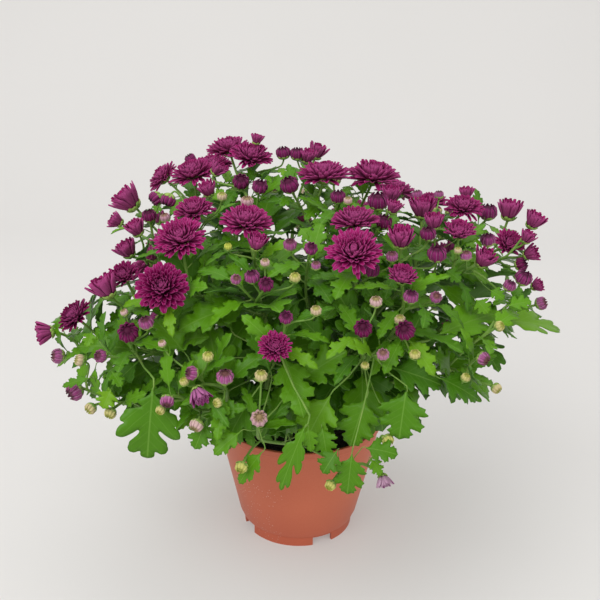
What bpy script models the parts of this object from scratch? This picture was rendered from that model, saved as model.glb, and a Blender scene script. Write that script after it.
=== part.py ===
"""Pot chrysanthemum: a flowering plant in its plastic pot, as separate closed bodies."""

import math
import random

import bmesh
import bpy
from mathutils import Matrix, Vector
from mathutils.bvhtree import BVHTree

# Pot and soil, in metres. The origin is the middle of the pot's foot.
POT_HEIGHT = 0.102
POT_RIM_RADIUS = 0.070
POT_LIP_HEIGHT = 0.0055
POT_LIP_OUT = 0.0014
POT_LIP_THICK = 0.0026
POT_WALL = 0.0016
POT_SIDES = 24
POT_MID_RADIUS = 0.0645
POT_MID_AT = 0.070
POT_TURN_RADIUS = 0.0522
POT_TURN_AT = 0.0155
POT_FLOOR_RADIUS = 0.0497
POT_FLOOR_AT = 0.0085
POT_BEVEL = 0.0012
FOOT_RADIUS = 0.0477
FOOT_INNER = 0.0453
FOOT_NOTCHES = 4
FOOT_NOTCH_WIDTH = 0.018
FOOT_NOTCH_HEIGHT = 0.0073
FOOT_NOTCH_TURN = -63.0
CUT_OVERRUN = 0.004
SOIL_TOP = 0.086
SOIL_BEVEL = 0.003
SEAT_GAP = 0.0003
ROUND_ANGLE = 35.0
FLAT_ANGLE = 0.02

# Stems, stalks and leaves, in metres.
FOOT_THICK = 0.0024
FOOT_SPREAD = 0.047
STEM_DEPTH = 0.016
COLLAR_HEIGHT = 0.010
STALK_RADIUS = 0.00075
STALK_GROWTH = 0.00042
STEM_RADIUS_MOST = 0.0021
HOLE_SIDES = 5
HEAD_SIDES = 5
SHORT_SPAN = 0.026
LONG_SPAN = 0.060
LEAF_THICKNESS = 0.0008
LEAF_STALK_HALF = 0.0005
LEAF_SPACING = 0.060
LEAF_LENGTH_MOST = 0.088
LEAF_LENGTH = 0.043
LEAF_GROWTH = 0.003
LEAF_SHRINK = 0.04
LEAF_LOAD = 4
LEAF_LOWEST = 0.122
UPPER_LOAD = 3
UPPER_SPACING = 0.200
UPPER_LOWEST = 0.180
CLEARANCE = 0.0008
LEAF_DROOP = 0.35
LEAF_FOLD = 0.12
LEAF_TRIALS = 13
LEAF_TURN_STEP = 0.62
BULGES = (0.0, 0.004, 0.008, 0.012, 0.018)
BULGE_TURNS = 8
BEND_REACH = 0.38
FORK_DROP = 0.010
FORK_DROP_MOST = 0.62
FORK_BASE = 0.015

# Leaves placed by rule keep the pot's rim and the front heads in view: how low a blade
# may hang at the rim, how much higher for each metre further out and further to the
# front, the side of a picture cell, and how much of a head is kept clear.
BLADE_LOWEST = 0.104
BLADE_RISE = 0.25
BLADE_FRONT_RISE = 0.35
SIGHT_CELL = 5.0
SIGHT_SHARE = 0.42
BLADE_SHARES = (0.15, 0.40, 0.65, 0.90)
BLADE_SIDES = (-0.35, 0.0, 0.35)

# The view that the plant is laid out from: metres, degrees and picture units.
VIEW_AT = Vector((-0.0017, -0.6626, 0.4425))
VIEW_DOWN = 19.6
VIEW_ROLL = -1.1
VIEW_FOCAL = 850.0
VIEW_MIDDLE = 300.0

# The rounded surface that the flower heads lie on, and the point that stems fan from.
DOME_MIDDLE = Vector((0.0, 0.005, 0.145))
DOME_SIZE = Vector((0.200, 0.175, 0.172))
DOME_POWER = 2.4
CROWN = Vector((0.0, 0.0, 0.080))
DEPTH_STEP = 0.018
NEAR_DEPTH = 0.42
MARCH_STEP = 0.0035
MARCH_COUNT = 120
SPREAD_SWEEPS = 80
SPREAD_SHARE = 0.35
HEAD_ROOM = 0.002
PLACE_SWEEPS = 12

# Stems: how many stand in each ring, and the ring's place on the fan's disc.
STEM_RINGS = ((1, 0.0), (4, 0.42), (7, 0.80))
FAN_ANGLE = 95
SEED = 41
GOLDEN_TURN = math.radians(137.5)

# Heads seen from the front: across, down, width in millimetres, tilt from the viewer
# in degrees, the way the head faces in the picture in degrees, and its depth step.
OPEN_HEADS = (
    (230, 149, 41, 75, 95, 2),
    (251, 156, 37, 62, 85, 0),
    (193, 173, 40, 68, 110, 0),
    (212, 166, 38, 72, 100, 3),
    (163, 177, 31, 78, 140, 1),
    (193, 210, 31, 60, 105, 1),
    (180, 238, 37, 45, 110, 0),
    (246, 221, 37, 60, 90, 0),
    (324, 175, 41, 74, 90, 0),
    (373, 176, 45, 72, 85, 1),
    (355, 221, 36, 66, 90, 1),
    (354, 252, 38, 35, 95, 0),
    (402, 278, 24, 52, 80, 0),
    (464, 207, 32, 62, 80, 1),
    (431, 202, 27, 66, 90, 3),
    (459, 233, 27, 55, 80, 0),
    (509, 244, 27, 40, 60, 0),
    (124, 276, 26, 50, 120, 1),
    (162, 287, 36, 25, 110, 0),
    (75, 316, 28, 62, 140, 0),
    (275, 347, 23, 25, 90, 0),
)
HALF_HEADS = (
    (126, 198, 26, 80, 135, 1),
    (257, 241, 14, 55, 80, 0),
    (104, 285, 21, 78, 120, 0),
    (401, 236, 19, 60, 90, 0),
    (422, 206, 20, 66, 90, 1),
    (510, 208, 21, 75, 80, 0),
    (535, 219, 17, 75, 60, 0),
    (485, 257, 17, 60, 60, 0),
    (318, 150, 18, 75, 70, 3),
    (43, 333, 17, 85, 190, -1),
    (200, 396, 14, 60, 300, 0),
    (392, 193, 16, 70, 85, 2),
    (384, 482, 11, 80, 285, 0),
    (126, 248, 17, 70, 120, 2),
)
BUD_HEADS = (
    (149, 215, 11, 60, 100, 1),
    (241, 181, 13, 35, 90, 2),
    (260, 186, 12, 50, 80, 2),
    (289, 184, 14, 50, 110, 1),
    (338, 196, 11, 60, 90, 1),
    (378, 200, 15, 60, 90, 1),
    (384, 221, 12, 60, 80, 1),
    (371, 269, 12, 60, 80, 1),
    (311, 248, 9, 35, 70, 0),
    (363, 328, 12, 22, 90, 0),
    (405, 330, 13, 25, 120, 0),
    (524, 277, 13, 60, 60, 0),
    (128, 332, 14, 22, 110, 0),
    (286, 317, 9, 25, 80, 0),
    (266, 284, 10, 25, 90, 0),
    (488, 211, 16, 70, 85, 2),
    (542, 303, 10, 70, 20, 0),
    (236, 279, 7, 28, 70, 0),
    (436, 297, 8, 30, 60, 0),
    (383, 354, 8, 30, 90, 0),
    (484, 359, 9, 60, 330, 0),
    (57, 356, 11, 70, 180, 0),
    (74, 392, 13, 70, 215, 0),
    (100, 356, 9, 40, 170, 0),
    (167, 402, 9, 60, 265, 0),
    (191, 373, 9, 55, 175, 0),
    (225, 376, 11, 45, 90, 0),
    (259, 418, 11, 15, 80, 0),
    (196, 426, 9, 70, 240, 0),
    (500, 326, 7, 60, 20, 0),
    (497, 389, 7, 70, 315, 0),
    (90, 409, 8, 70, 225, 0),
    (110, 414, 8, 70, 245, 0),
    (241, 468, 8, 60, 250, 0),
    (330, 486, 7, 60, 240, 0),
)

# Heads on the far side: kind, how many, least and greatest width in millimetres,
# lowest and highest angle above the dome's middle in degrees. They stand a little
# inside the dome, and far enough from its left and right edges to stay behind it.
REAR_REACH = 0.945
REAR_WIDE = 0.130
REAR_HEADS = (
    ("open", 8, 36, 44, 22, 80),
    ("half", 3, 18, 23, 22, 80),
    ("bud", 8, 9, 14, 8, 66),
)

# Leaves seen plainly from the front: base across and down, tip across and down,
# width in millimetres, and how far out towards the dome's surface.
SEEN_LEAVES = (
    (153, 388, 147, 463, 46, 1.00),
    (262, 452, 238, 486, 16, 0.98),
    (306, 424, 279, 495, 18, 1.00),
    (352, 454, 347, 497, 24, 0.99),
    (366, 448, 398, 456, 20, 0.99),
    (406, 392, 399, 441, 36, 0.95),
    (436, 336, 508, 312, 31, 0.92),
    (494, 322, 570, 331, 21, 1.02),
    (330, 396, 304, 446, 33, 0.86),
    (366, 398, 350, 448, 32, 0.84),
    (228, 392, 186, 432, 27, 0.90),
    (250, 400, 222, 452, 26, 0.88),
    (270, 372, 250, 322, 20, 0.85),
    (300, 380, 348, 352, 30, 0.82),
    (392, 368, 444, 388, 30, 0.88),
    (150, 352, 104, 366, 22, 0.90),
    (184, 352, 152, 318, 24, 0.85),
    (440, 378, 480, 402, 23, 0.92),
    (352, 374, 388, 336, 26, 0.80),
    (276, 400, 262, 446, 26, 0.82),
    (214, 360, 176, 384, 23, 0.84),
    (330, 350, 300, 318, 25, 0.78),
    (404, 352, 424, 310, 25, 0.84),
    (232, 330, 206, 290, 25, 0.80),
    (384, 404, 420, 420, 25, 0.86),
)

# Like leaves on the unseen sides: turn about the pot in degrees, then the first
# seen leaf that is repeated there and the step to the next.
UNSEEN_LEAVES = ((180, 0, 2), (90, 4, 5), (-90, 3, 5))

# Leaf outlines: place along the blade and half width as a share of the widest,
# with the places of the points along the midrib. The upper leaves are plain kites.
LOBED_OUTLINE = (
    (0.00, 0.07), (0.10, 0.40), (0.26, 0.94), (0.36, 0.48),
    (0.58, 1.00), (0.66, 0.42), (0.86, 0.46),
)
LOBED_RIB = (0.0, 0.36, 0.66)
PLAIN_OUTLINE = ((0.00, 0.07), (0.30, 0.92), (0.44, 0.52), (0.74, 0.72))
PLAIN_RIB = (0.0, 0.44)
UPPER_OUTLINE = ((0.42, 1.0),)
UPPER_RIB = (0.40,)
LEAF_FORMS = {
    "lobed": (LOBED_OUTLINE, LOBED_RIB),
    "plain": (PLAIN_OUTLINE, PLAIN_RIB),
    "upper": (UPPER_OUTLINE, UPPER_RIB),
}

# Shapes of the heads, each number a share of the head's width: radius then height.
OPEN_PETALS = 8
OPEN_BASE = 0.17
OPEN_LOWER_TIP = (0.50, 0.13)
OPEN_LOWER_TOP = (0.31, 0.155)
OPEN_UPPER_LOW = (0.27, 0.185)
OPEN_UPPER_TIP = (0.41, 0.265)
OPEN_UPPER_TOP = (0.21, 0.275)
OPEN_HEIGHT = 0.36
HALF_PETALS = 6
HALF_BASE = (0.20, 0.36, 0.22)
HALF_TIP = (0.47, 0.80)
HALF_TOP = (0.30, 0.68)
HALF_HEIGHT = 0.84
BUD_RINGS = ((0.24, 0.45), (0.66, 0.45), (0.94, 0.0))
PETAL_BLUNT = 0.30

# Shares of a head's width: from its seat to its middle, from its seat back to the
# stalk's end, the green cup's radius, and the room it keeps from other heads.
SEAT_SHARE = {"open": 0.16, "half": 0.5, "bud": 0.5}
STALK_SINK = {"open": -0.08, "half": -0.16, "bud": 0.0}
CUP_SHARE = {"open": 0.16, "half": 0.24}
ROOM_SHARE = {"open": 0.47, "half": 0.55, "bud": 0.6}


def view_axes():
    """The right, up and forward directions of the view."""
    down = math.radians(VIEW_DOWN)
    roll = math.radians(VIEW_ROLL)
    forward = Vector((0.0, math.cos(down), -math.sin(down)))
    level_up = Vector((0.0, math.sin(down), math.cos(down)))
    level_right = Vector((1.0, 0.0, 0.0))
    right = level_right * math.cos(roll) - level_up * math.sin(roll)
    up = level_right * math.sin(roll) + level_up * math.cos(roll)
    return right, up, forward


def sight_line(across, down):
    """The direction of a picture point, with a length of one along the view."""
    right, up, forward = view_axes()
    sideways = (across - VIEW_MIDDLE) / VIEW_FOCAL
    upward = (VIEW_MIDDLE - down) / VIEW_FOCAL
    return forward + right * sideways + up * upward


def picture_place(point):
    """Where a point shows in the picture, and how far away it is."""
    right, up, forward = view_axes()
    gap = point - VIEW_AT
    away = gap.dot(forward)
    across = VIEW_MIDDLE + VIEW_FOCAL * gap.dot(right) / away
    down = VIEW_MIDDLE - VIEW_FOCAL * gap.dot(up) / away
    return across, down, away


def dome_level(point, scale=1.0):
    """One on the dome's surface, less inside it."""
    total = 0.0
    for axis in range(3):
        share = abs(point[axis] - DOME_MIDDLE[axis]) / (DOME_SIZE[axis] * scale)
        total += share ** DOME_POWER
    return total


def dome_point(across, down, scale=1.0):
    """Where a sight line first meets the dome, or where it passes nearest to it."""
    ray = sight_line(across, down)
    nearest = None
    for step in range(MARCH_COUNT):
        point = VIEW_AT + ray * (NEAR_DEPTH + MARCH_STEP * step)
        level = dome_level(point, scale)
        if level <= 1.0:
            return point
        if nearest is None or level < nearest[0]:
            nearest = (level, point)
    return nearest[1]


def head_axis(point, tilt, turn):
    """The way a head faces, from its tilt and its direction in the picture."""
    right, up, forward = view_axes()
    to_viewer = (VIEW_AT - point).normalized()
    flat = right * math.cos(math.radians(turn)) + up * math.sin(math.radians(turn))
    flat = (flat - to_viewer * flat.dot(to_viewer)).normalized()
    angle = math.radians(tilt)
    return (to_viewer * math.cos(angle) + flat * math.sin(angle)).normalized()


def seen_head(kind, row):
    """A head placed on its sight line."""
    across, down, width, tilt, turn, step = row
    ray = sight_line(across, down)
    point = dome_point(across, down) + ray * DEPTH_STEP * step
    return {
        "kind": kind,
        "at": point,
        "axis": head_axis(point, tilt, turn),
        "width": width * 0.001,
        "ray": ray.normalized(),
        "seen": True,
    }


def rear_point(rng, low, high):
    """A point on the far side of the dome, and the way out from the middle there."""
    turn = math.radians(rng.uniform(8, 172))
    lift = math.radians(rng.uniform(low, high))
    flat = math.cos(lift)
    out = Vector((math.cos(turn) * flat, math.sin(turn) * flat, math.sin(lift)))
    reach = dome_level(DOME_MIDDLE + out) ** (-1.0 / DOME_POWER)
    return DOME_MIDDLE + out * reach * REAR_REACH, out


def rear_heads(front):
    """Heads on the far side, spaced by a seeded rule."""
    rng = random.Random(SEED)
    heads = []
    for kind, count, least, greatest, low, high in REAR_HEADS:
        for index in range(count):
            best = None
            for trial in range(60):
                point, out = rear_point(rng, low, high)
                room = min((point - other["at"]).length - 0.5 * other["width"]
                           for other in front + heads)
                if best is None or room > best[0]:
                    best = (room, point, out)
            lift = Vector((0, 0, rng.uniform(0.3, 0.9)))
            point = best[1]
            point.x = max(-REAR_WIDE, min(REAR_WIDE, point.x))
            heads.append({
                "kind": kind,
                "at": point,
                "axis": (best[2] + lift).normalized(),
                "width": rng.uniform(least, greatest) * 0.001,
                "ray": best[2],
                "seen": False,
            })
    return heads


def spread_heads(heads):
    """Slide heads along their sight lines until none of them touch."""
    for sweep in range(SPREAD_SWEEPS):
        for number, one in enumerate(heads):
            for two in heads[number + 1:]:
                room = ROOM_SHARE[one["kind"]] * one["width"]
                room += ROOM_SHARE[two["kind"]] * two["width"] + HEAD_ROOM
                gap = two["at"] - one["at"]
                short = room - gap.length
                if short <= 0.0:
                    continue
                sign = 1.0 if gap.dot(one["ray"]) >= 0.0 else -1.0
                slide = sign * short * SPREAD_SHARE
                one["at"] = one["at"] - one["ray"] * slide
                two["at"] = two["at"] + two["ray"] * slide
    return heads


def all_heads():
    front = [seen_head("open", row) for row in OPEN_HEADS]
    front += [seen_head("half", row) for row in HALF_HEADS]
    front += [seen_head("bud", row) for row in BUD_HEADS]
    return spread_heads(front + rear_heads(front))


def fan_place(point):
    """A point's direction from the crown, as a place on a disc seen from above."""
    out = point - CROWN
    polar = math.acos(max(-1.0, min(1.0, out.z / out.length)))
    turn = math.atan2(out.y, out.x)
    spread = polar / math.radians(FAN_ANGLE)
    return Vector((math.cos(turn) * spread, math.sin(turn) * spread, 0.0))


def nearest_place(places, spot):
    return min(range(len(places)), key=lambda number: (places[number] - spot).length)


def stem_places(heads):
    """One place for each stem on the disc, each in the middle of its own heads."""
    places = []
    for ring_number, (count, spread) in enumerate(STEM_RINGS):
        for index in range(count):
            turn = 2 * math.pi * (index + 0.5 * ring_number) / count - math.pi / 2
            places.append(Vector((math.cos(turn) * spread, math.sin(turn) * spread, 0.0)))
    spots = [fan_place(head["at"]) for head in heads]
    for sweep in range(PLACE_SWEEPS):
        groups = [[] for place in places]
        for spot in spots:
            groups[nearest_place(places, spot)].append(spot)
        for number, group in enumerate(groups):
            if group:
                middle = sum(group, Vector((0, 0, 0))) / len(group)
                places[number] = places[number] * 0.4 + middle * 0.6
    return places


def seat_of(head):
    """Where the head meets its stalk."""
    return head["at"] - head["axis"] * head["width"] * SEAT_SHARE[head["kind"]]


def stalk_tree(foot, heads):
    """Join heads pair by pair into a branching stem that ends near its foot."""
    base = foot + Vector((0, 0, FORK_BASE))
    tips = []
    for head in heads:
        end = seat_of(head) + head["axis"] * head["width"] * STALK_SINK[head["kind"]]
        tips.append({"at": end, "axis": head["axis"], "kids": [], "head": head, "load": 1})
    while len(tips) > 1:
        best = None
        for first, one in enumerate(tips):
            for second in range(first + 1, len(tips)):
                span = (one["at"] - tips[second]["at"]).length
                if best is None or span < best[0]:
                    best = (span, first, second)
        span, first, second = best
        one = tips[first]
        two = tips[second]
        middle = (one["at"] + two["at"]) * 0.5
        inward = base - middle
        drop = min(0.5 * span + FORK_DROP, FORK_DROP_MOST * inward.length)
        fork = {
            "at": middle + inward.normalized() * drop,
            "axis": -inward.normalized(),
            "kids": [one, two],
            "head": None,
            "load": one["load"] + two["load"],
        }
        tips = [tip for index, tip in enumerate(tips) if index not in (first, second)]
        tips.append(fork)
    return tips[0]


def side_frame(direction):
    """Two directions square to the given one and to each other."""
    helper = Vector((0, 0, 1)) if abs(direction.z) < 0.9 else Vector((1, 0, 0))
    one = direction.cross(helper).normalized()
    return one, direction.cross(one).normalized()


def circle(middle, one, two, radius, count):
    points = []
    for index in range(count):
        turn = 2 * math.pi * index / count
        points.append(middle + (one * math.cos(turn) + two * math.sin(turn)) * radius)
    return points


def join_rings(faces, low, low_count, high, high_count):
    """Triangles between two rings that start at the same angle."""
    i = 0
    j = 0
    while i < low_count or j < high_count:
        from_low = (i + 1) / low_count <= (j + 1) / high_count
        if j >= high_count or (i < low_count and from_low):
            faces.append([low + i, low + (i + 1) % low_count, high + j % high_count])
            i += 1
        else:
            faces.append([low + i % low_count, high + (j + 1) % high_count, high + j])
            j += 1


def tube(path, radii, sides, end_rings=()):
    """A closed tube along a path; end rings of (middle, direction, radius) shape its end."""
    verts = []
    faces = []
    one, two = side_frame((path[1] - path[0]).normalized())
    last = len(path) - 1
    for step, point in enumerate(path):
        direction = (path[min(step + 1, last)] - path[max(step - 1, 0)]).normalized()
        one = (one - direction * one.dot(direction)).normalized()
        verts += circle(point, one, direction.cross(one), radii[step], sides)
    for step in range(last):
        join_rings(faces, step * sides, sides, (step + 1) * sides, sides)
    faces.append(list(range(sides)))
    low = last * sides
    count = sides
    for point, direction, radius in end_rings:
        one = (one - direction * one.dot(direction)).normalized()
        high = len(verts)
        if radius <= 0.0:
            verts.append(point)
            for index in range(count):
                faces.append([low + index, low + (index + 1) % count, high])
            return verts, faces
        verts += circle(point, one, direction.cross(one), radius, HEAD_SIDES)
        join_rings(faces, low, count, high, HEAD_SIDES)
        low = high
        count = HEAD_SIDES
    faces.append(list(range(low, low + count)))
    return verts, faces


def bent_path(start, start_way, end, end_way, steps):
    """Points on a smooth curve that leaves and arrives along the given directions."""
    reach = (end - start).length * BEND_REACH
    first = start + start_way * reach
    second = end - end_way * reach
    path = []
    for step in range(steps + 1):
        share = step / steps
        rest = 1.0 - share
        path.append(start * rest ** 3 + first * (3 * rest * rest * share)
                    + second * (3 * rest * share * share) + end * share ** 3)
    return path


def surface(shape):
    verts, faces = shape
    return BVHTree.FromPolygons([tuple(vert) for vert in verts], faces)


def clashes(shape, own, taken):
    """How many pieces with another owner a shape runs into."""
    tree = surface(shape)
    return sum(1 for owner, other in taken if owner != own and tree.overlap(other))


def clear_path(start, start_way, end, end_way, radii, sides, own, taken):
    """The least bent path between two points that runs into nothing else."""
    steps = len(radii) - 1
    one, two = side_frame((end - start).normalized())
    thick = [radius + CLEARANCE for radius in radii]
    best = None
    for bulge in BULGES:
        for turn in range(BULGE_TURNS if bulge else 1):
            angle = 2 * math.pi * turn / BULGE_TURNS
            push = (one * math.cos(angle) + two * math.sin(angle)) * bulge
            path = bent_path(start, start_way, end, end_way, steps)
            for step in range(1, steps):
                path[step] = path[step] + push
            hits = clashes(tube(path, thick, sides), own, taken)
            if best is None or hits < best[0]:
                best = (hits, path)
            if hits == 0:
                return path
    return best[1]


def stem_radius(load):
    """A limb's radius, from how many heads it carries."""
    return min(STEM_RADIUS_MOST, STALK_RADIUS + STALK_GROWTH * math.sqrt(load))


def curve_steps(span):
    """More steps on a longer limb."""
    if span < SHORT_SPAN:
        return 1
    return 2 if span < LONG_SPAN else 3


def head_rings(head):
    """Rings that widen the end of a stalk into a green cup or a closed bud."""
    axis = head["axis"]
    seat = seat_of(head)
    width = head["width"]
    if head["kind"] == "bud":
        return [(seat + axis * width * rise, axis, width * radius) for rise, radius in BUD_RINGS]
    return [(seat, axis, width * CUP_SHARE[head["kind"]])]


def grow_limb(stem, own, taken, start, start_way, node, thick, rooted):
    """A limb that follows its heavier forks to a head, with its side limbs."""
    sides = 4 if node["load"] > 4 else 3
    path = list(rooted)
    radii = [thick] * len(rooted)
    forks = []
    while True:
        end_radius = stem_radius(node["load"]) * 0.9
        steps = curve_steps((node["at"] - start).length)
        part = [thick + (end_radius - thick) * step / steps for step in range(steps + 1)]
        run = clear_path(start, start_way, node["at"], node["axis"], part, sides, own, taken)
        stem["paths"].append((run, node["load"]))
        taken.append((own, surface(tube(run, part, sides))))
        skip = 1 if path else 0
        path += run[skip:]
        radii += part[skip:]
        if not node["kids"]:
            break
        heavy, light = sorted(node["kids"], key=lambda kid: -kid["load"])
        forks.append((node, light, end_radius))
        start = node["at"]
        start_way = node["axis"]
        thick = end_radius
        node = heavy
    stem["limbs"].append((path, radii, sides, node["head"]))
    for fork, kid, radius in forks:
        leave = (fork["axis"] * 0.25 + (kid["at"] - fork["at"]).normalized()).normalized()
        slim = min(stem_radius(kid["load"]), radius * 0.6)
        grow_limb(stem, own, taken, fork["at"], leave, kid, slim, ())


def grow_stem(stem, own, taken):
    """One stem, from its foot in the soil to every one of its heads."""
    foot = stem["foot"]
    collar = foot + Vector((0, 0, COLLAR_HEIGHT))
    rooted = (foot - Vector((0, 0, STEM_DEPTH - SEAT_GAP)), collar)
    taken.append((own, surface(tube(rooted, (FOOT_THICK, FOOT_THICK), 4))))
    lean = (Vector((foot.x, foot.y, 0.0)) * 6.0 + Vector((0, 0, 1))).normalized()
    grow_limb(stem, own, taken, collar, lean, stem["tree"], FOOT_THICK, rooted)


def grow_stems(heads, taken):
    """Share the heads out between the stems and branch each stem to its own."""
    places = stem_places(heads)
    stems = []
    for place in places:
        foot = Vector((place.x * FOOT_SPREAD, place.y * FOOT_SPREAD, SOIL_TOP))
        stems.append({"foot": foot, "heads": [], "limbs": [], "paths": []})
    for head in heads:
        stems[nearest_place(places, fan_place(head["at"]))]["heads"].append(head)
    stems = [stem for stem in stems if stem["heads"]]
    for number, stem in enumerate(stems):
        for head in stem["heads"]:
            head["stem"] = number
            own = number if head["kind"] == "bud" else len(stems) + heads.index(head)
            taken.append((own, surface(head_in_place(head))))
    for number, stem in enumerate(stems):
        stem["tree"] = stalk_tree(stem["foot"], stem["heads"])
        grow_stem(stem, number, taken)
    return stems


def plate(points, tris, normals, thickness):
    """A thin closed plate: the same triangles on both faces, joined round the edge."""
    half = thickness * 0.5
    count = len(points)
    verts = [point + normal * half for point, normal in zip(points, normals)]
    verts += [point - normal * half for point, normal in zip(points, normals)]
    faces = [list(tri) for tri in tris]
    faces += [[count + corner for corner in reversed(tri)] for tri in tris]
    edges = set()
    for tri in tris:
        for index in range(3):
            edges.add((tri[index], tri[(index + 1) % 3]))
    for start, end in sorted(edges):
        if (end, start) in edges:
            continue
        faces.append([end, start, count + start])
        faces.append([end, count + start, count + end])
    return verts, faces


def zip_rows(outer, inner, places):
    """Triangles between two rows of points that share their last point."""
    tris = []
    i = 0
    j = 0
    while i < len(outer) - 1 or j < len(inner) - 1:
        move_outer = j >= len(inner) - 1
        if i < len(outer) - 1 and j < len(inner) - 1:
            move_outer = places[outer[i + 1]] <= places[inner[j + 1]]
        corners = [outer[i], outer[i + 1] if move_outer else inner[j + 1], inner[j]]
        if len(set(corners)) == 3:
            tris.append(tuple(corners))
        if move_outer:
            i += 1
        else:
            j += 1
    return tris


def leaf_spine(leaf, way, up, share):
    """A point along a drooping leaf's midrib, and the way its face looks there."""
    steps = 12
    point = leaf["at"]
    for step in range(steps):
        angle = leaf["droop"] * (step + 0.5) / steps * share
        ahead = way * math.cos(angle) - up * math.sin(angle)
        point = point + ahead * (leaf["length"] * share / steps)
    angle = leaf["droop"] * share
    return point, way * math.sin(angle) + up * math.cos(angle)


def leaf_plate(leaf, grow=0.0, stalked=True):
    """A lobed leaf blade with its stalk, as one plate."""
    outline, ribs = LEAF_FORMS[leaf["form"]]
    way = leaf["way"].normalized()
    up = (leaf["up"] - way * leaf["up"].dot(way)).normalized()
    side = way.cross(up).normalized()
    half = leaf["width"] * 0.5
    points = []
    normals = []
    places = []

    def add(share, sideways):
        point, normal = leaf_spine(leaf, way, up, share)
        points.append(point + side * sideways + normal * abs(sideways) * leaf["fold"])
        normals.append(normal)
        places.append(share)
        return len(points) - 1

    left = [add(share, -part * half) for share, part in outline]
    right = [add(share, part * half) for share, part in outline]
    rib = [add(share, 0.0) for share in ribs]
    tip = add(1.0, 0.0)
    tris = zip_rows(left + [tip], rib + [tip], places)
    tris += [(a, c, b) for a, b, c in zip_rows(right + [tip], rib + [tip], places)]
    if not stalked:
        tris += [(left[0], rib[0], right[0])]
        return plate(points, tris, normals, LEAF_THICKNESS + grow)
    low = len(points)
    high = low + 1
    for sign in (-1.0, 1.0):
        points.append(leaf["root"] + side * sign * LEAF_STALK_HALF)
        normals.append(up)
    tris += [(low, left[0], rib[0]), (low, rib[0], high), (high, rib[0], right[0])]
    return plate(points, tris, normals, LEAF_THICKNESS + grow)


def leaf_spots(stem, least_load, spacing, lowest):
    """Points along a stem where its leaves stand, with the stem's direction there."""
    spots = []
    for path, load in stem["paths"]:
        if load < least_load:
            continue
        total = sum((high - low).length for low, high in zip(path, path[1:]))
        count = 1 + int(total / spacing)
        for index in range(count):
            place = (1.0 - (index + 0.12) / count) * (len(path) - 1)
            low = min(int(place), len(path) - 2)
            point = path[low].lerp(path[low + 1], place - low)
            if point.z > lowest:
                spots.append((point, (path[low + 1] - path[low]).normalized(), load))
    spots.sort(key=lambda spot: spot[0].z)
    return spots


def keep_leaf(leaf, leaves, taken):
    """Keep a leaf where its blade is clear of everything and its stalk of other stems."""
    if clashes(leaf_plate(leaf, 2 * CLEARANCE), leaf["stem"], taken):
        return False
    if clashes(leaf_plate(leaf, 2 * CLEARANCE, False), None, taken):
        return False
    leaf["shape"] = leaf_plate(leaf)
    leaves.append(leaf)
    taken.append((leaf["stem"], surface(leaf["shape"])))
    return True


def nearest_root(stems, base, way):
    """The nearest place on a stem that lies behind a leaf's base."""
    nearest = None
    for number, stem in enumerate(stems):
        for path, load in stem["paths"]:
            for low, high in zip(path, path[1:]):
                point = low.lerp(high, 0.55)
                stalk = base - point
                if point.z < SOIL_TOP + 0.008 or stalk.dot(way) < 0.45 * stalk.length:
                    continue
                if stalk.length > 0.004 and (nearest is None or stalk.length < nearest[0]):
                    nearest = (stalk.length, point, number)
    return nearest


def seen_leaf(row, stems, trial, turn):
    """A leaf laid out from its base and tip as seen from the front, turned about the pot."""
    across, down, tip_across, tip_down, width, scale = row
    scale = scale - 0.035 * trial
    base = dome_point(across, down, scale)
    tip = dome_point(tip_across, tip_down, scale + 0.04)
    viewer = VIEW_AT.copy()
    for point in (base, tip, viewer):
        point.rotate(Matrix.Rotation(math.radians(turn), 3, "Z"))
    way = (tip - base).normalized()
    found = nearest_root(stems, base, way)
    if found is None:
        return None
    return {
        "root": found[1],
        "at": base,
        "way": way + Vector((0, 0, 0.12)),
        "up": (viewer - base).normalized() + Vector((0, 0, 0.7)),
        "length": min((tip - base).length, LEAF_LENGTH_MOST),
        "width": width * 0.001,
        "droop": LEAF_DROOP,
        "fold": LEAF_FOLD,
        "form": "plain" if turn else "lobed",
        "stem": found[2],
    }


def rule_leaf(number, spot, angle, size, droop, fold, form):
    """A leaf that stands out from its stem at an angle round it."""
    point, way = spot[:2]
    one, two = side_frame(way)
    out = one * math.cos(angle) + two * math.sin(angle)
    aim = (out + way * 0.55 + Vector((0, 0, -0.05))).normalized()
    return {
        "root": point,
        "at": point + aim * size * 0.2,
        "way": aim,
        "up": way + Vector((0, 0, 0.6)),
        "length": size,
        "width": size * 0.72,
        "droop": droop,
        "fold": fold,
        "form": form,
        "stem": number,
    }


def sight_cells(heads):
    """The picture's cells that show a front head, with that head's distance."""
    cells = {}
    for head in heads:
        if not head["seen"]:
            continue
        across, down, away = picture_place(head["at"])
        reach = VIEW_FOCAL * SIGHT_SHARE * head["width"] / away
        steps = 1 + int(reach / SIGHT_CELL)
        for column in range(-steps, steps + 1):
            for row in range(-steps, steps + 1):
                if math.hypot(column, row) * SIGHT_CELL <= reach:
                    cell = (round(across / SIGHT_CELL) + column,
                            round(down / SIGHT_CELL) + row)
                    cells[cell] = max(cells.get(cell, 0.0), away)
    return cells


def well_placed(leaf, cells):
    """True where a blade hangs over no rim and hides no head seen from the front."""
    way = leaf["way"].normalized()
    up = (leaf["up"] - way * leaf["up"].dot(way)).normalized()
    side = way.cross(up) * leaf["width"]
    for share in BLADE_SHARES:
        middle = leaf_spine(leaf, way, up, share)[0]
        for part in BLADE_SIDES:
            point = middle + side * part
            lowest = BLADE_LOWEST
            lowest += BLADE_RISE * max(0.0, math.hypot(point.x, point.y) - POT_RIM_RADIUS)
            lowest += BLADE_FRONT_RISE * max(0.0, -point.y - POT_RIM_RADIUS)
            if point.z < lowest:
                return False
            across, down, away = picture_place(point)
            cell = (round(across / SIGHT_CELL), round(down / SIGHT_CELL))
            if cells.get(cell, 0.0) > away:
                return False
    return True


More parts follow.
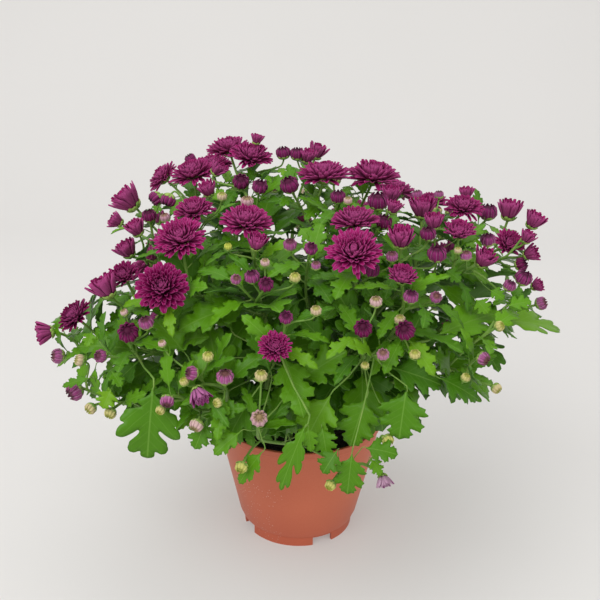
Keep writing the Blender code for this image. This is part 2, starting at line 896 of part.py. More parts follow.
def grow_leaves(stems, taken, cells):
    """Give every stem its leaves; each one turns or shrinks until it is clear."""
    leaves = []
    rows = [(row, 0) for row in SEEN_LEAVES]
    for turn, start, step in UNSEEN_LEAVES:
        rows += [(row, turn) for row in SEEN_LEAVES[start::step]]
    for row, turn in rows:
        for trial in range(LEAF_TRIALS):
            leaf = seen_leaf(row, stems, trial, turn)
            if leaf and keep_leaf(leaf, leaves, taken):
                break
    rng = random.Random(SEED + 1)
    rules = (("plain", LEAF_LOAD, LEAF_SPACING, LEAF_LOWEST),
             ("upper", UPPER_LOAD, UPPER_SPACING, UPPER_LOWEST))
    for form, least_load, spacing, lowest in rules:
        for number, stem in enumerate(stems):
            angle = rng.uniform(0, 2 * math.pi)
            for spot in leaf_spots(stem, least_load, spacing, lowest):
                angle += GOLDEN_TURN
                size = (LEAF_LENGTH + LEAF_GROWTH * min(spot[2], 6)) * rng.uniform(0.85, 1.15)
                droop = rng.uniform(0.4, 1.0)
                fold = rng.uniform(0.05, 0.3)
                for trial in range(LEAF_TRIALS):
                    smaller = size * (1.0 - LEAF_SHRINK * trial)
                    turned = angle + trial * LEAF_TURN_STEP
                    leaf = rule_leaf(number, spot, turned, smaller, droop, fold, form)
                    if well_placed(leaf, cells) and keep_leaf(leaf, leaves, taken):
                        break
    return leaves


def ring(count, radius, height, offset=0.0):
    points = []
    for index in range(count):
        turn = 2 * math.pi * (index + offset) / count
        points.append(Vector((radius * math.cos(turn), radius * math.sin(turn), height)))
    return points


def petal_layer(verts, faces, under, count, tip, over_ring, offset):
    """One layer of blunt petals that stand out between two rings of notches."""
    low = len(verts)
    verts += ring(count, tip[0], tip[1], offset + 0.5 - PETAL_BLUNT)
    high = len(verts)
    verts += ring(count, tip[0], tip[1], offset + 0.5 + PETAL_BLUNT)
    over = len(verts)
    verts += ring(count, over_ring[0], over_ring[1], offset)
    for index in range(count):
        after = (index + 1) % count
        faces.append([under + index, low + index, high + index])
        faces.append([under + index, high + index, under + after])
        faces.append([over + index, high + index, low + index])
        faces.append([over + index, over + after, high + index])
        faces.append([under + index, over + index, low + index])
        faces.append([under + after, high + index, over + after])
    return over


def close_top(verts, faces, low, count, height):
    for index in range(count):
        faces.append([low + index, low + (index + 1) % count, len(verts)])
    verts.append(Vector((0.0, 0.0, height)))


def open_bloom(head):
    """A flat bloom about its seat: two layers of petals round a tufted middle."""
    count = OPEN_PETALS
    verts = ring(count, OPEN_BASE, SEAT_GAP / head["width"])
    faces = [list(range(count))]
    over = petal_layer(verts, faces, 0, count, OPEN_LOWER_TIP, OPEN_LOWER_TOP, 0.0)
    second = len(verts)
    verts += ring(count, OPEN_UPPER_LOW[0], OPEN_UPPER_LOW[1], 0.5)
    join_rings(faces, over, count, second, count)
    over = petal_layer(verts, faces, second, count, OPEN_UPPER_TIP, OPEN_UPPER_TOP, 0.5)
    close_top(verts, faces, over, count, OPEN_HEIGHT)
    return [vert * head["width"] for vert in verts], faces


def half_bloom(head):
    """A half-open head about its seat: a cup of upright petals."""
    count = HALF_PETALS
    foot, waist, height = HALF_BASE
    verts = ring(count, foot, SEAT_GAP / head["width"])
    faces = [list(range(count))]
    verts += ring(count, waist, height)
    join_rings(faces, 0, count, count, count)
    over = petal_layer(verts, faces, count, count, HALF_TIP, HALF_TOP, 0.0)
    close_top(verts, faces, over, count, HALF_HEIGHT)
    return [vert * head["width"] for vert in verts], faces


def bud_room(head):
    """The room a closed bud takes up, kept clear of other bodies."""
    count = HEAD_SIDES
    radius = BUD_RINGS[0][1]
    verts = ring(count, radius, 0.0) + ring(count, radius, BUD_RINGS[1][0])
    faces = [list(range(count)), list(range(count, 2 * count))]
    join_rings(faces, 0, count, count, count)
    return [vert * head["width"] for vert in verts], faces


HEAD_MAKERS = {"open": open_bloom, "half": half_bloom, "bud": bud_room}


def head_matrix(head):
    """The place and turn of a head's own frame: its seat, with Z along its axis."""
    one, two = side_frame(head["axis"])
    turned = Matrix((one, head["axis"].cross(one), head["axis"])).transposed()
    return Matrix.Translation(seat_of(head)) @ turned.to_4x4()


def head_in_place(head):
    verts, faces = HEAD_MAKERS[head["kind"]](head)
    matrix = head_matrix(head)
    return [matrix @ vert for vert in verts], faces


def new_object(name, verts, faces):
    """A mesh object with its faces turned outwards."""
    mesh = bpy.data.meshes.new(name)
    mesh.from_pydata([tuple(vert) for vert in verts], [], faces)
    body = bmesh.new()
    body.from_mesh(mesh)
    bmesh.ops.recalc_face_normals(body, faces=body.faces)
    if body.calc_volume(signed=True) < 0.0:
        bmesh.ops.reverse_faces(body, faces=body.faces)
    body.to_mesh(mesh)
    body.free()
    thing = bpy.data.objects.new(name, mesh)
    bpy.context.scene.collection.objects.link(thing)
    return thing


def turned_body(profile, sides):
    """Spin a closed profile of (radius, height) points; radius 0 points close the ends."""
    verts = []
    rows = []
    for radius, height in profile:
        if radius <= 0.0:
            rows.append([len(verts)] * sides)
            verts.append(Vector((0, 0, height)))
            continue
        rows.append(list(range(len(verts), len(verts) + sides)))
        verts += ring(sides, radius, height)
    faces = []
    for lower, upper in zip(rows, rows[1:]):
        for index in range(sides):
            after = (index + 1) % sides
            loop = (lower[index], lower[after], upper[after], upper[index])
            faces.append(list(dict.fromkeys(loop)))
    return verts, faces


def combine(first, others, kind):
    """Join or cut bodies with one modifier on a collection, then remove them."""
    group = bpy.data.collections.new("combined")
    bpy.context.scene.collection.children.link(group)
    for other in others:
        bpy.context.scene.collection.objects.unlink(other)
        group.objects.link(other)
    modifier = first.modifiers.new("combine", "BOOLEAN")
    modifier.operation = kind
    modifier.operand_type = "COLLECTION"
    modifier.collection = group
    modifier.solver = "EXACT"
    bpy.context.view_layer.update()
    solved = first.evaluated_get(bpy.context.evaluated_depsgraph_get())
    mesh = bpy.data.meshes.new_from_object(solved)
    mesh.name = first.name
    first.modifiers.clear()
    first.data = mesh
    for other in others:
        bpy.data.objects.remove(other)
    bpy.data.collections.remove(group)
    flatten(mesh)


def flatten(mesh):
    """Remove the edges between faces that lie in one plane."""
    body = bmesh.new()
    body.from_mesh(mesh)
    bmesh.ops.dissolve_limit(body, angle_limit=FLAT_ANGLE, verts=body.verts, edges=body.edges)
    bmesh.ops.triangulate(body, faces=body.faces)
    body.to_mesh(mesh)
    body.free()


def plain_material(name, colour, roughness):
    """A material with one base colour and roughness."""
    material = bpy.data.materials.new(name)
    material.use_nodes = True
    shader = material.node_tree.nodes["Principled BSDF"]
    shader.inputs["Base Color"].default_value = (colour[0], colour[1], colour[2], 1.0)
    shader.inputs["Roughness"].default_value = roughness
    shader.inputs["Metallic"].default_value = 0.0
    return material


def pot_material():
    return plain_material("terracotta_plastic", (0.42, 0.115, 0.065), 0.5)


def soil_material():
    return plain_material("potting_soil", (0.018, 0.014, 0.011), 0.95)


def green_material():
    return plain_material("leaf_green", (0.085, 0.26, 0.022), 0.5)


def petal_material():
    return plain_material("petal_purple", (0.155, 0.008, 0.075), 0.55)


def half_open_material():
    return plain_material("young_petal_purple", (0.22, 0.03, 0.13), 0.55)


def finish(thing, material, parent):
    """Give a body its parent and material, smooth its round faces and keep its edges."""
    thing.parent = parent
    thing.data.materials.clear()
    thing.data.materials.append(material)
    thing.data.shade_smooth()
    thing.data.set_sharp_from_angle(angle=math.radians(ROUND_ANGLE))


def notch_cutter(turn):
    """A box that cuts one notch through the foot ring."""
    half = FOOT_NOTCH_WIDTH * 0.5
    verts = []
    for x in (FOOT_INNER - CUT_OVERRUN, FOOT_RADIUS + CUT_OVERRUN):
        for y in (-half, half):
            for z in (-CUT_OVERRUN, FOOT_NOTCH_HEIGHT):
                verts.append(Matrix.Rotation(turn, 3, "Z") @ Vector((x, y, z)))
    faces = [[0, 1, 3, 2], [4, 5, 7, 6], [0, 1, 5, 4], [2, 3, 7, 6], [0, 2, 6, 4], [1, 3, 7, 5]]
    return new_object("notch", verts, faces)


def build_pot(parent):
    """The pot: a tapered wall with a lip, a floor, and a notched foot ring."""
    lip_low = POT_HEIGHT - POT_LIP_HEIGHT
    wall_high = POT_RIM_RADIUS - POT_LIP_OUT
    outside = [
        (0.0, POT_FLOOR_AT), (FOOT_INNER, POT_FLOOR_AT), (FOOT_INNER, 0.0),
        (FOOT_RADIUS, 0.0), (FOOT_RADIUS, POT_FLOOR_AT),
        (POT_FLOOR_RADIUS, POT_FLOOR_AT + POT_BEVEL), (POT_TURN_RADIUS, POT_TURN_AT),
        (POT_MID_RADIUS, POT_MID_AT), (wall_high, lip_low - 0.5 * POT_BEVEL),
        (POT_RIM_RADIUS, lip_low), (POT_RIM_RADIUS, POT_HEIGHT),
    ]
    inside = [
        (POT_RIM_RADIUS - POT_LIP_THICK, POT_HEIGHT),
        (wall_high - POT_WALL, lip_low - 2 * POT_BEVEL),
        (POT_MID_RADIUS - POT_WALL, POT_MID_AT),
        (POT_TURN_RADIUS - POT_WALL, POT_TURN_AT + POT_BEVEL),
        (POT_FLOOR_RADIUS - 2 * POT_BEVEL, POT_FLOOR_AT + POT_WALL),
        (0.0, POT_FLOOR_AT + POT_WALL),
    ]
    pot = new_object("pot", *turned_body(outside + inside, POT_SIDES))
    first = math.radians(FOOT_NOTCH_TURN)
    turns = [first + 2 * math.pi * index / FOOT_NOTCHES for index in range(FOOT_NOTCHES)]
    combine(pot, [notch_cutter(turn) for turn in turns], "DIFFERENCE")
    finish(pot, pot_material(), parent)


def soil_radius(height):
    """The radius of the soil at a height: the pot's inside less the seat gap."""
    low = (POT_TURN_AT, POT_TURN_RADIUS)
    high = (POT_MID_AT, POT_MID_RADIUS)
    if height > POT_MID_AT:
        low = high
        high = (POT_HEIGHT - POT_LIP_HEIGHT - 0.5 * POT_BEVEL, POT_RIM_RADIUS - POT_LIP_OUT)
    share = (height - low[0]) / (high[0] - low[0])
    return low[1] + (high[1] - low[1]) * share - POT_WALL - SEAT_GAP


def hole_cutter(foot):
    """The plain hole that one stem stands in."""
    radius = (FOOT_THICK + SEAT_GAP) / math.cos(math.pi / HOLE_SIDES)
    low = foot.z - STEM_DEPTH
    high = foot.z + CUT_OVERRUN
    profile = [(0.0, low), (radius, low), (radius, high), (0.0, high)]
    verts, faces = turned_body(profile, HOLE_SIDES)
    return new_object("hole", [vert + Vector((foot.x, foot.y, 0.0)) for vert in verts], faces)


def build_soil(feet, parent):
    """The soil, with a plain hole for each stem."""
    floor = POT_FLOOR_AT + POT_WALL + SEAT_GAP
    shoulder = SOIL_TOP - SOIL_BEVEL
    profile = [
        (0.0, floor), (POT_FLOOR_RADIUS - SOIL_BEVEL - POT_BEVEL, floor),
        (soil_radius(POT_TURN_AT), POT_TURN_AT + SOIL_BEVEL),
        (soil_radius(shoulder), shoulder), (soil_radius(SOIL_TOP) - SOIL_BEVEL, SOIL_TOP),
        (0.0, SOIL_TOP),
    ]
    soil = new_object("soil", *turned_body(profile, POT_SIDES))
    combine(soil, [hole_cutter(foot) for foot in feet], "DIFFERENCE")
    finish(soil, soil_material(), parent)


def build_stems(stems, leaves, parent):
    """Each leafy stem with its limbs, green cups, closed buds and leaves as one body."""
    bodies = []
    for number, stem in enumerate(stems):
        name = "leafy_stem_%02d" % (number + 1)
        shapes = [tube(path, radii, sides, head_rings(head))
                  for path, radii, sides, head in stem["limbs"]]
        shapes += [leaf["shape"] for leaf in leaves if leaf["stem"] == number]
        things = [new_object(name, *shape) for shape in shapes]
        body = things[0]
        combine(body, things[1:], "UNION")
        body.data.transform(Matrix.Translation(-stem["foot"]))
        body.location = stem["foot"]
        finish(body, green_material(), parent)
        bodies.append(body)
    return bodies


def build_heads(heads, kind, name, make_material, bodies):
    """The blooms of one kind, each its own body, turned and placed on its stalk."""
    for number, head in enumerate([head for head in heads if head["kind"] == kind]):
        thing = new_object("%s_%02d" % (name, number + 1), *HEAD_MAKERS[kind](head))
        carrier = bodies[head["stem"]]
        thing.matrix_basis = Matrix.Translation(-carrier.location) @ head_matrix(head)
        finish(thing, make_material(), carrier)


def build():
    for thing in list(bpy.data.objects):
        bpy.data.objects.remove(thing)
    plant = bpy.data.objects.new("potted_plant", None)
    bpy.context.scene.collection.objects.link(plant)
    heads = all_heads()
    taken = []
    stems = grow_stems(heads, taken)
    leaves = grow_leaves(stems, taken, sight_cells(heads))
    build_pot(plant)
    build_soil([stem["foot"] for stem in stems], plant)
    bodies = build_stems(stems, leaves, plant)
    build_heads(heads, "open", "open_bloom", petal_material, bodies)
    build_heads(heads, "half", "half_open_bloom", half_open_material, bodies)


build()
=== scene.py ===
"""The look of the pot chrysanthemum: fine stems, leaves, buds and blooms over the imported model."""

import itertools
import math
import random

import bmesh
import bpy
import numpy as np
from mathutils import Matrix, Vector
from mathutils.bvhtree import BVHTree
from mathutils.geometry import delaunay_2d_cdt


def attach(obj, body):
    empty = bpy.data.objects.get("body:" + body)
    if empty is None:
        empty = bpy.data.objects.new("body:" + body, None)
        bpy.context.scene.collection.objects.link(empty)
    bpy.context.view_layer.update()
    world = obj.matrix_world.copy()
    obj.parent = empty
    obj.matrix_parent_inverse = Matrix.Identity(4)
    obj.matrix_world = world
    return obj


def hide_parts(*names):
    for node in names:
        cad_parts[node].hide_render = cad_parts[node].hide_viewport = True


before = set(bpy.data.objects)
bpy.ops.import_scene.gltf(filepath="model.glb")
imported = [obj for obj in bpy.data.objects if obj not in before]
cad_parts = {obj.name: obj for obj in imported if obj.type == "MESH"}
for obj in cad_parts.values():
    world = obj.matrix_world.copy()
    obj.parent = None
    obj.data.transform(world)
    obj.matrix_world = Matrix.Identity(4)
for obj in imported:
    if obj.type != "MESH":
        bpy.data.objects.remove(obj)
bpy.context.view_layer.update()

MM = 0.001
SEED = 41
GOLDEN_TURN = math.radians(137.5)

# Pot and soil, in metres. The origin is the middle of the pot's foot.
POT_HEIGHT = 0.102
POT_RIM_RADIUS = 0.070
POT_LIP_HEIGHT = 0.0055
POT_LIP_OUT = 0.0014
POT_LIP_THICK = 0.0026
POT_WALL = 0.0016
POT_MID_RADIUS = 0.0645
POT_MID_AT = 0.070
POT_TURN_RADIUS = 0.0522
POT_TURN_AT = 0.0155
POT_FLOOR_RADIUS = 0.0497
POT_FLOOR_AT = 0.0085
POT_BEVEL = 0.0012
LIP_SOFTNESS = 0.35 * POT_BEVEL
FOOT_RADIUS = 0.0477
FOOT_INNER = 0.0453
FOOT_NOTCHES = 4
FOOT_NOTCH_WIDTH = 0.018
FOOT_NOTCH_HEIGHT = 0.0073
FOOT_NOTCH_TURN = -63.0
CUT_OVERRUN = 0.004
SOIL_TOP = 0.086
SOIL_BEVEL = 0.003
SEAT_GAP = 0.0003
ROUND_ANGLE = 35.0
FLAT_ANGLE = 0.02
POT_SIDES = 96

# The soil's top: rings as shares of its radius, and its crumbs.
SOIL_SIDES = 48
SOIL_RINGS = (0.96, 0.88, 0.78, 0.66, 0.52, 0.36, 0.18)
SOIL_WAVE = 0.0011
SOIL_WAVE_RATES = (210.0, 170.0)
SOIL_ROUGHNESS = (-0.0006, 0.0008)
CRUMBS = 260
CRUMB_REACH = 0.95
CRUMB_LIFT = 0.0002
CRUMB_SIZES = (0.0009, 0.0026)
CRUMB_STRETCH = (0.7, 1.1)
CRUMB_TIPS = (
    (1, 0, 0), (0, 0.8, 0), (-0.9, 0, 0), (0, -1, 0), (0, 0, 0.7), (0, 0, -0.7),
)
CRUMB_FACES = (
    (0, 1, 4), (1, 2, 4), (2, 3, 4), (3, 0, 4), (1, 0, 5), (2, 1, 5), (3, 2, 5), (0, 3, 5),
)

# Stems and stalks, in metres unless they are shares or counts.
FOOT_THICK = 0.0024
FOOT_SPREAD = 0.047
FOOT_LEAN = 6.0
FOOT_SIDES = 4
STEM_DEPTH = 0.016
COLLAR_HEIGHT = 0.010
STALK_RADIUS = 0.00075
STALK_GROWTH = 0.00042
STEM_RADIUS_MOST = 0.0021
LIMB_TAPER = 0.9
SIDE_LIMB_SHARE = 0.6
HEAVY_LOAD = 4
HEAVY_SIDES = 4
LIGHT_SIDES = 3
HEAD_SIDES = 5
SHORT_SPAN = 0.026
LONG_SPAN = 0.060
CLEARANCE = 0.0008
BULGES = (0.0, 0.004, 0.008, 0.012, 0.018)
BULGE_TURNS = 8
BEND_REACH = 0.38
FORK_DROP = 0.010
FORK_DROP_MOST = 0.62
FORK_BASE = 0.015
FORK_LEAN = 0.25
NEARLY_UPRIGHT = 0.9

# Leaves of the solids, in metres unless they are shares or counts.
LEAF_THICKNESS = 0.0008
LEAF_STALK_HALF = 0.0005
LEAF_SPACING = 0.060
LEAF_LENGTH_MOST = 0.088
LEAF_LENGTH = 0.043
LEAF_GROWTH = 0.003
LEAF_GROWTH_LOAD = 6
LEAF_SIZES = (0.85, 1.15)
LEAF_SHRINK = 0.04
LEAF_LOAD = 4
LEAF_LOWEST = 0.122
UPPER_LOAD = 3
UPPER_SPACING = 0.200
UPPER_LOWEST = 0.180
LEAF_WIDTH = 0.72
LEAF_DROOP = 0.35
LEAF_DROOPS = (0.4, 1.0)
LEAF_FOLD = 0.12
LEAF_FOLDS = (0.05, 0.3)
LEAF_TRIALS = 13
LEAF_TURN_STEP = 0.62
LEAF_SPOT = 0.12
SPINE_STEPS = 12

# Where a seen leaf is tried next, how far its tip lies outside its base, and how far its
# blade lifts and its face turns up.
LEAF_INWARD = 0.035
TIP_OUTWARD = 0.04
LEAF_LIFT = 0.12
FACE_LIFT = 0.7

# The place on a stem that a seen leaf's stalk grows from: its share of a span, its
# least height above the soil, how far it lies behind the blade, and the least stalk.
ROOT_SHARE = 0.55
ROOT_HEIGHT = 0.008
ROOT_BEHIND = 0.45
ROOT_LEAST = 0.004

# How a leaf stands out from its stem: how far it sinks, its stalk as a share of its
# length, and how far its face turns up. Then how far it follows the stem.
RULE_STAND = (-0.05, 0.2, 0.6)
RULE_AHEAD = 0.55
FILLER_STAND = (0.0, 0.16, 0.8)
FILLER_AHEAD = (0.3, 0.8)

# Leaves placed by rule keep the pot's rim and the front heads in view: how low a blade
# may hang at the rim, how much higher for each metre further out and further to the
# front, the side of a picture cell, and how much of a head is kept clear.
BLADE_LOWEST = 0.104
BLADE_RISE = 0.25
BLADE_FRONT_RISE = 0.35
SIGHT_CELL = 5.0
SIGHT_SHARE = 0.42
BLADE_SHARES = (0.15, 0.40, 0.65, 0.90)
BLADE_SIDES = (-0.35, 0.0, 0.35)

# The view that the plant is laid out from: metres, degrees and picture units.
VIEW_AT = Vector((-0.0017, -0.6626, 0.4425))
VIEW_DOWN = 19.6
VIEW_ROLL = -1.1
VIEW_FOCAL = 850.0
VIEW_MIDDLE = 300.0

# The rounded surface that the flower heads lie on, and the point that stems fan from.
DOME_MIDDLE = Vector((0.0, 0.005, 0.145))
DOME_SIZE = Vector((0.200, 0.175, 0.172))
DOME_POWER = 2.4
CROWN = Vector((0.0, 0.0, 0.080))
DEPTH_STEP = 0.018
NEAR_DEPTH = 0.42
MARCH_STEP = 0.0035
MARCH_COUNT = 120
SPREAD_SWEEPS = 80
SPREAD_SHARE = 0.35
HEAD_ROOM = 0.002
PLACE_SWEEPS = 12
PLACE_KEPT = 0.4
PLACE_PULL = 0.6

# Stems: how many stand in each ring, and the ring's place on the fan's disc.
STEM_RINGS = ((1, 0.0), (4, 0.42), (7, 0.80))
FAN_ANGLE = 95

# Heads seen from the front: across, down, width in millimetres, tilt from the viewer
# in degrees, the way the head faces in the picture in degrees, and its depth step.
OPEN_HEADS = (
    (230, 149, 41, 75, 95, 2), (251, 156, 37, 62, 85, 0), (193, 173, 40, 68, 110, 0),
    (212, 166, 38, 72, 100, 3), (163, 177, 31, 78, 140, 1), (193, 210, 31, 60, 105, 1),
    (180, 238, 37, 45, 110, 0), (246, 221, 37, 60, 90, 0), (324, 175, 41, 74, 90, 0),
    (373, 176, 45, 72, 85, 1), (355, 221, 36, 66, 90, 1), (354, 252, 38, 35, 95, 0),
    (402, 278, 24, 52, 80, 0), (464, 207, 32, 62, 80, 1), (431, 202, 27, 66, 90, 3),
    (459, 233, 27, 55, 80, 0), (509, 244, 27, 40, 60, 0), (124, 276, 26, 50, 120, 1),
    (162, 287, 36, 25, 110, 0), (75, 316, 28, 62, 140, 0), (275, 347, 23, 25, 90, 0),
)
HALF_HEADS = (
    (126, 198, 26, 80, 135, 1), (257, 241, 14, 55, 80, 0), (104, 285, 21, 78, 120, 0),
    (401, 236, 19, 60, 90, 0), (422, 206, 20, 66, 90, 1), (510, 208, 21, 75, 80, 0),
    (535, 219, 17, 75, 60, 0), (485, 257, 17, 60, 60, 0), (318, 150, 18, 75, 70, 3),
    (43, 333, 17, 85, 190, -1), (200, 396, 14, 60, 300, 0), (392, 193, 16, 70, 85, 2),
    (384, 482, 11, 80, 285, 0), (126, 248, 17, 70, 120, 2),
)
BUD_HEADS = (
    (149, 215, 11, 60, 100, 1), (241, 181, 13, 35, 90, 2), (260, 186, 12, 50, 80, 2),
    (289, 184, 14, 50, 110, 1), (338, 196, 11, 60, 90, 1), (378, 200, 15, 60, 90, 1),
    (384, 221, 12, 60, 80, 1), (371, 269, 12, 60, 80, 1), (311, 248, 9, 35, 70, 0),
    (363, 328, 12, 22, 90, 0), (405, 330, 13, 25, 120, 0), (524, 277, 13, 60, 60, 0),
    (128, 332, 14, 22, 110, 0), (286, 317, 9, 25, 80, 0), (266, 284, 10, 25, 90, 0),
    (488, 211, 16, 70, 85, 2), (542, 303, 10, 70, 20, 0), (236, 279, 7, 28, 70, 0),
    (436, 297, 8, 30, 60, 0), (383, 354, 8, 30, 90, 0), (484, 359, 9, 60, 330, 0),
    (57, 356, 11, 70, 180, 0), (74, 392, 13, 70, 215, 0), (100, 356, 9, 40, 170, 0),
    (167, 402, 9, 60, 265, 0), (191, 373, 9, 55, 175, 0), (225, 376, 11, 45, 90, 0),
    (259, 418, 11, 15, 80, 0), (196, 426, 9, 70, 240, 0), (500, 326, 7, 60, 20, 0),
    (497, 389, 7, 70, 315, 0), (90, 409, 8, 70, 225, 0), (110, 414, 8, 70, 245, 0),
    (241, 468, 8, 60, 250, 0), (330, 486, 7, 60, 240, 0),
)
SEEN_HEADS = (("open", OPEN_HEADS), ("half", HALF_HEADS), ("bud", BUD_HEADS))

# Heads on the far side: kind, how many, least and greatest width in millimetres,
# lowest and highest angle above the dome's middle in degrees. They stand a little
# inside the dome, and far enough from its left and right edges to stay behind it.
# Each takes the roomiest of a few seeded trials.
REAR_HEADS = (
    ("open", 8, (36, 44), (22, 80)), ("half", 3, (18, 23), (22, 80)), ("bud", 8, (9, 14), (8, 66)),
)
REAR_TURNS = (8, 172)
REAR_REACH = 0.945
REAR_WIDE = 0.130
REAR_RISES = (0.3, 0.9)
REAR_TRIALS = 60

# Smaller heads on the far side that only this scene has.
REAR_EXTRAS = (("half", 7, (11, 16), (4, 48)), ("bud", 17, (7, 12), (4, 48)))
REAR_EXTRA_RISES = (0.2, 0.9)
REAR_EXTRA_TRIALS = 30
REAR_EXTRA_AGES = (0.1, 1.0)

# Leaves seen plainly from the front: base across and down, tip across and down,
# width in millimetres, and how far out towards the dome's surface.
SEEN_LEAVES = (
    (153, 388, 147, 463, 46, 1.00), (262, 452, 238, 486, 16, 0.98), (306, 424, 279, 495, 18, 1.00),
    (352, 454, 347, 497, 24, 0.99), (366, 448, 398, 456, 20, 0.99), (406, 392, 399, 441, 36, 0.95),
    (436, 336, 508, 312, 31, 0.92), (494, 322, 570, 331, 21, 1.02), (330, 396, 304, 446, 33, 0.86),
    (366, 398, 350, 448, 32, 0.84), (228, 392, 186, 432, 27, 0.90), (250, 400, 222, 452, 26, 0.88),
    (270, 372, 250, 322, 20, 0.85), (300, 380, 348, 352, 30, 0.82), (392, 368, 444, 388, 30, 0.88),
    (150, 352, 104, 366, 22, 0.90), (184, 352, 152, 318, 24, 0.85), (440, 378, 480, 402, 23, 0.92),
    (352, 374, 388, 336, 26, 0.80), (276, 400, 262, 446, 26, 0.82), (214, 360, 176, 384, 23, 0.84),
    (330, 350, 300, 318, 25, 0.78), (404, 352, 424, 310, 25, 0.84), (232, 330, 206, 290, 25, 0.80),
    (384, 404, 420, 420, 25, 0.86),
)

# Like leaves on the unseen sides: turn about the pot in degrees, then the first
# seen leaf that is repeated there and the step to the next.
UNSEEN_LEAVES = ((180, 0, 2), (90, 4, 5), (-90, 3, 5))

# Leaf outlines: place along the blade and half width as a share of the widest, and
# the places of the points along the midrib. The upper leaves are plain kites.
LEAF_FORMS = {
    "lobed": (((0.00, 0.07), (0.10, 0.40), (0.26, 0.94), (0.36, 0.48), (0.58, 1.00),
               (0.66, 0.42), (0.86, 0.46)), (0.0, 0.36, 0.66)),
    "plain": (((0.00, 0.07), (0.30, 0.92), (0.44, 0.52), (0.74, 0.72)), (0.0, 0.44)),
    "upper": (((0.42, 1.0),), (0.40,)),
}

# Shapes of the heads, each number a share of the head's width: radius then height.
OPEN_PETALS = 8
OPEN_BASE = 0.17
OPEN_LOWER_TIP = (0.50, 0.13)
OPEN_LOWER_TOP = (0.31, 0.155)
OPEN_UPPER_LOW = (0.27, 0.185)
OPEN_UPPER_TIP = (0.41, 0.265)
OPEN_UPPER_TOP = (0.21, 0.275)
OPEN_HEIGHT = 0.36
HALF_PETALS = 6
HALF_FOOT = 0.20
HALF_WAIST = (0.36, 0.22)
HALF_TIP = (0.47, 0.80)
HALF_TOP = (0.30, 0.68)
HALF_HEIGHT = 0.84
BUD_ROOM = (0.45, 0.66)
PETAL_BLUNT = 0.30

# Shares of a head's width: from its seat to its middle, from its seat back to the
# stalk's end, and the room it keeps from other heads.
SEAT_SHARE = {"open": 0.16, "half": 0.5, "bud": 0.5}
STALK_SINK = {"open": -0.08, "half": -0.16, "bud": 0.0}
ROOM_SHARE = {"open": 0.47, "half": 0.55, "bud": 0.6}

# Fine shapes, in metres unless they are shares or counts. The petal's profile is its
# width along it. A heart is the ball inside a head: radius, height and squash.
PETAL_PROFILE = (0.45, 0.74, 0.97, 1.00, 0.48)
PETAL_THICKNESS = 0.0004
BLOOM_PETALS = 180
HALF_OPEN_PETALS = 48
BUD_PETALS = 18
HEARTS = {"open": (0.10, 0.13, 0.8), "half": (0.20, 0.24, 1.0), "bud": (0.375, 0.42, 0.95)}
# The heart's low tone paints the ball dark: painted shade deep in a head's middle.
HEART_TONE = 0.2
BALL_RINGS = 5
BALL_SIDES = 10
CALYX_SCALES = 10
CALYX_SHARE = {"open": (0.19, 0.08), "half": (0.23, 0.14), "bud": (0.43, 0.20)}
CALYX_CLOSING = 0.10
CALYX_RADIUS = 0.0006
CALYX_DEPTH = 0.0004
CALYX_TONES = (0.55, 0.95)
KNOB_SHAPE = (0.62, 0.40, 0.9)
KNOB_TONE = 0.6

# Stalks: a head's stalk runs a share of its width into it.
STALK_SIDES = 8
STALK_PARTS = 4
STALK_INTO_HEAD = 0.04
STALK_TONE = 0.5
THIN_STALK_SIDES = 6
THIN_STALK_STEPS = 4
THIN_STALK_RADIUS = 0.00055
THIN_STALK_GROWTH = 0.02
THIN_STALK_LEAN = 0.5
STALK_FOOT = 1.3

# A leaf's own stalk: its radius, greatest thickening and usual leaf, how far it runs into
# the blade, how much it sags, and how a long one meets the blade.
LEAF_STALK_SIDES = 5
LEAF_STALK_PARTS = 2
LEAF_STALK_RADIUS = 0.00075
LEAF_STALK_MOST = 1.4
LEAF_STALK_USUAL = 0.05
LEAF_STALK_TONE = 0.55
LEAF_STALK_INTO = 0.05
LEAF_STALK_SAG = 0.06
LONG_STALK = 0.35
STALK_NECK = 0.12

# A fine leaf's waves, veins and tones, and the leaves that are darker than the others.
FINE_LEAF_THICKNESS = 0.0004
LEAST_DROOP = 0.01
LEAF_WAVE = 0.064
WAVE_RATES = (13.0, 7.0)
SECOND_WAVE = 0.6
VEIN_SLANT = 0.42
VEIN_RATE = 22.0
VEIN_LIFT = 0.026
# Leaf tones: painted shade makes leaves darker inside the plant and lighter towards its outside,
# with a random spread.
LEAF_TONE = 0.15
LEAF_TONE_RISE = 0.55
LEAF_TONE_REACH = 1.1
LEAF_TONE_SPREAD = (-0.22, 0.26)
LEAF_SHADES = {0: -0.26, 3: -0.28, 4: -0.30}

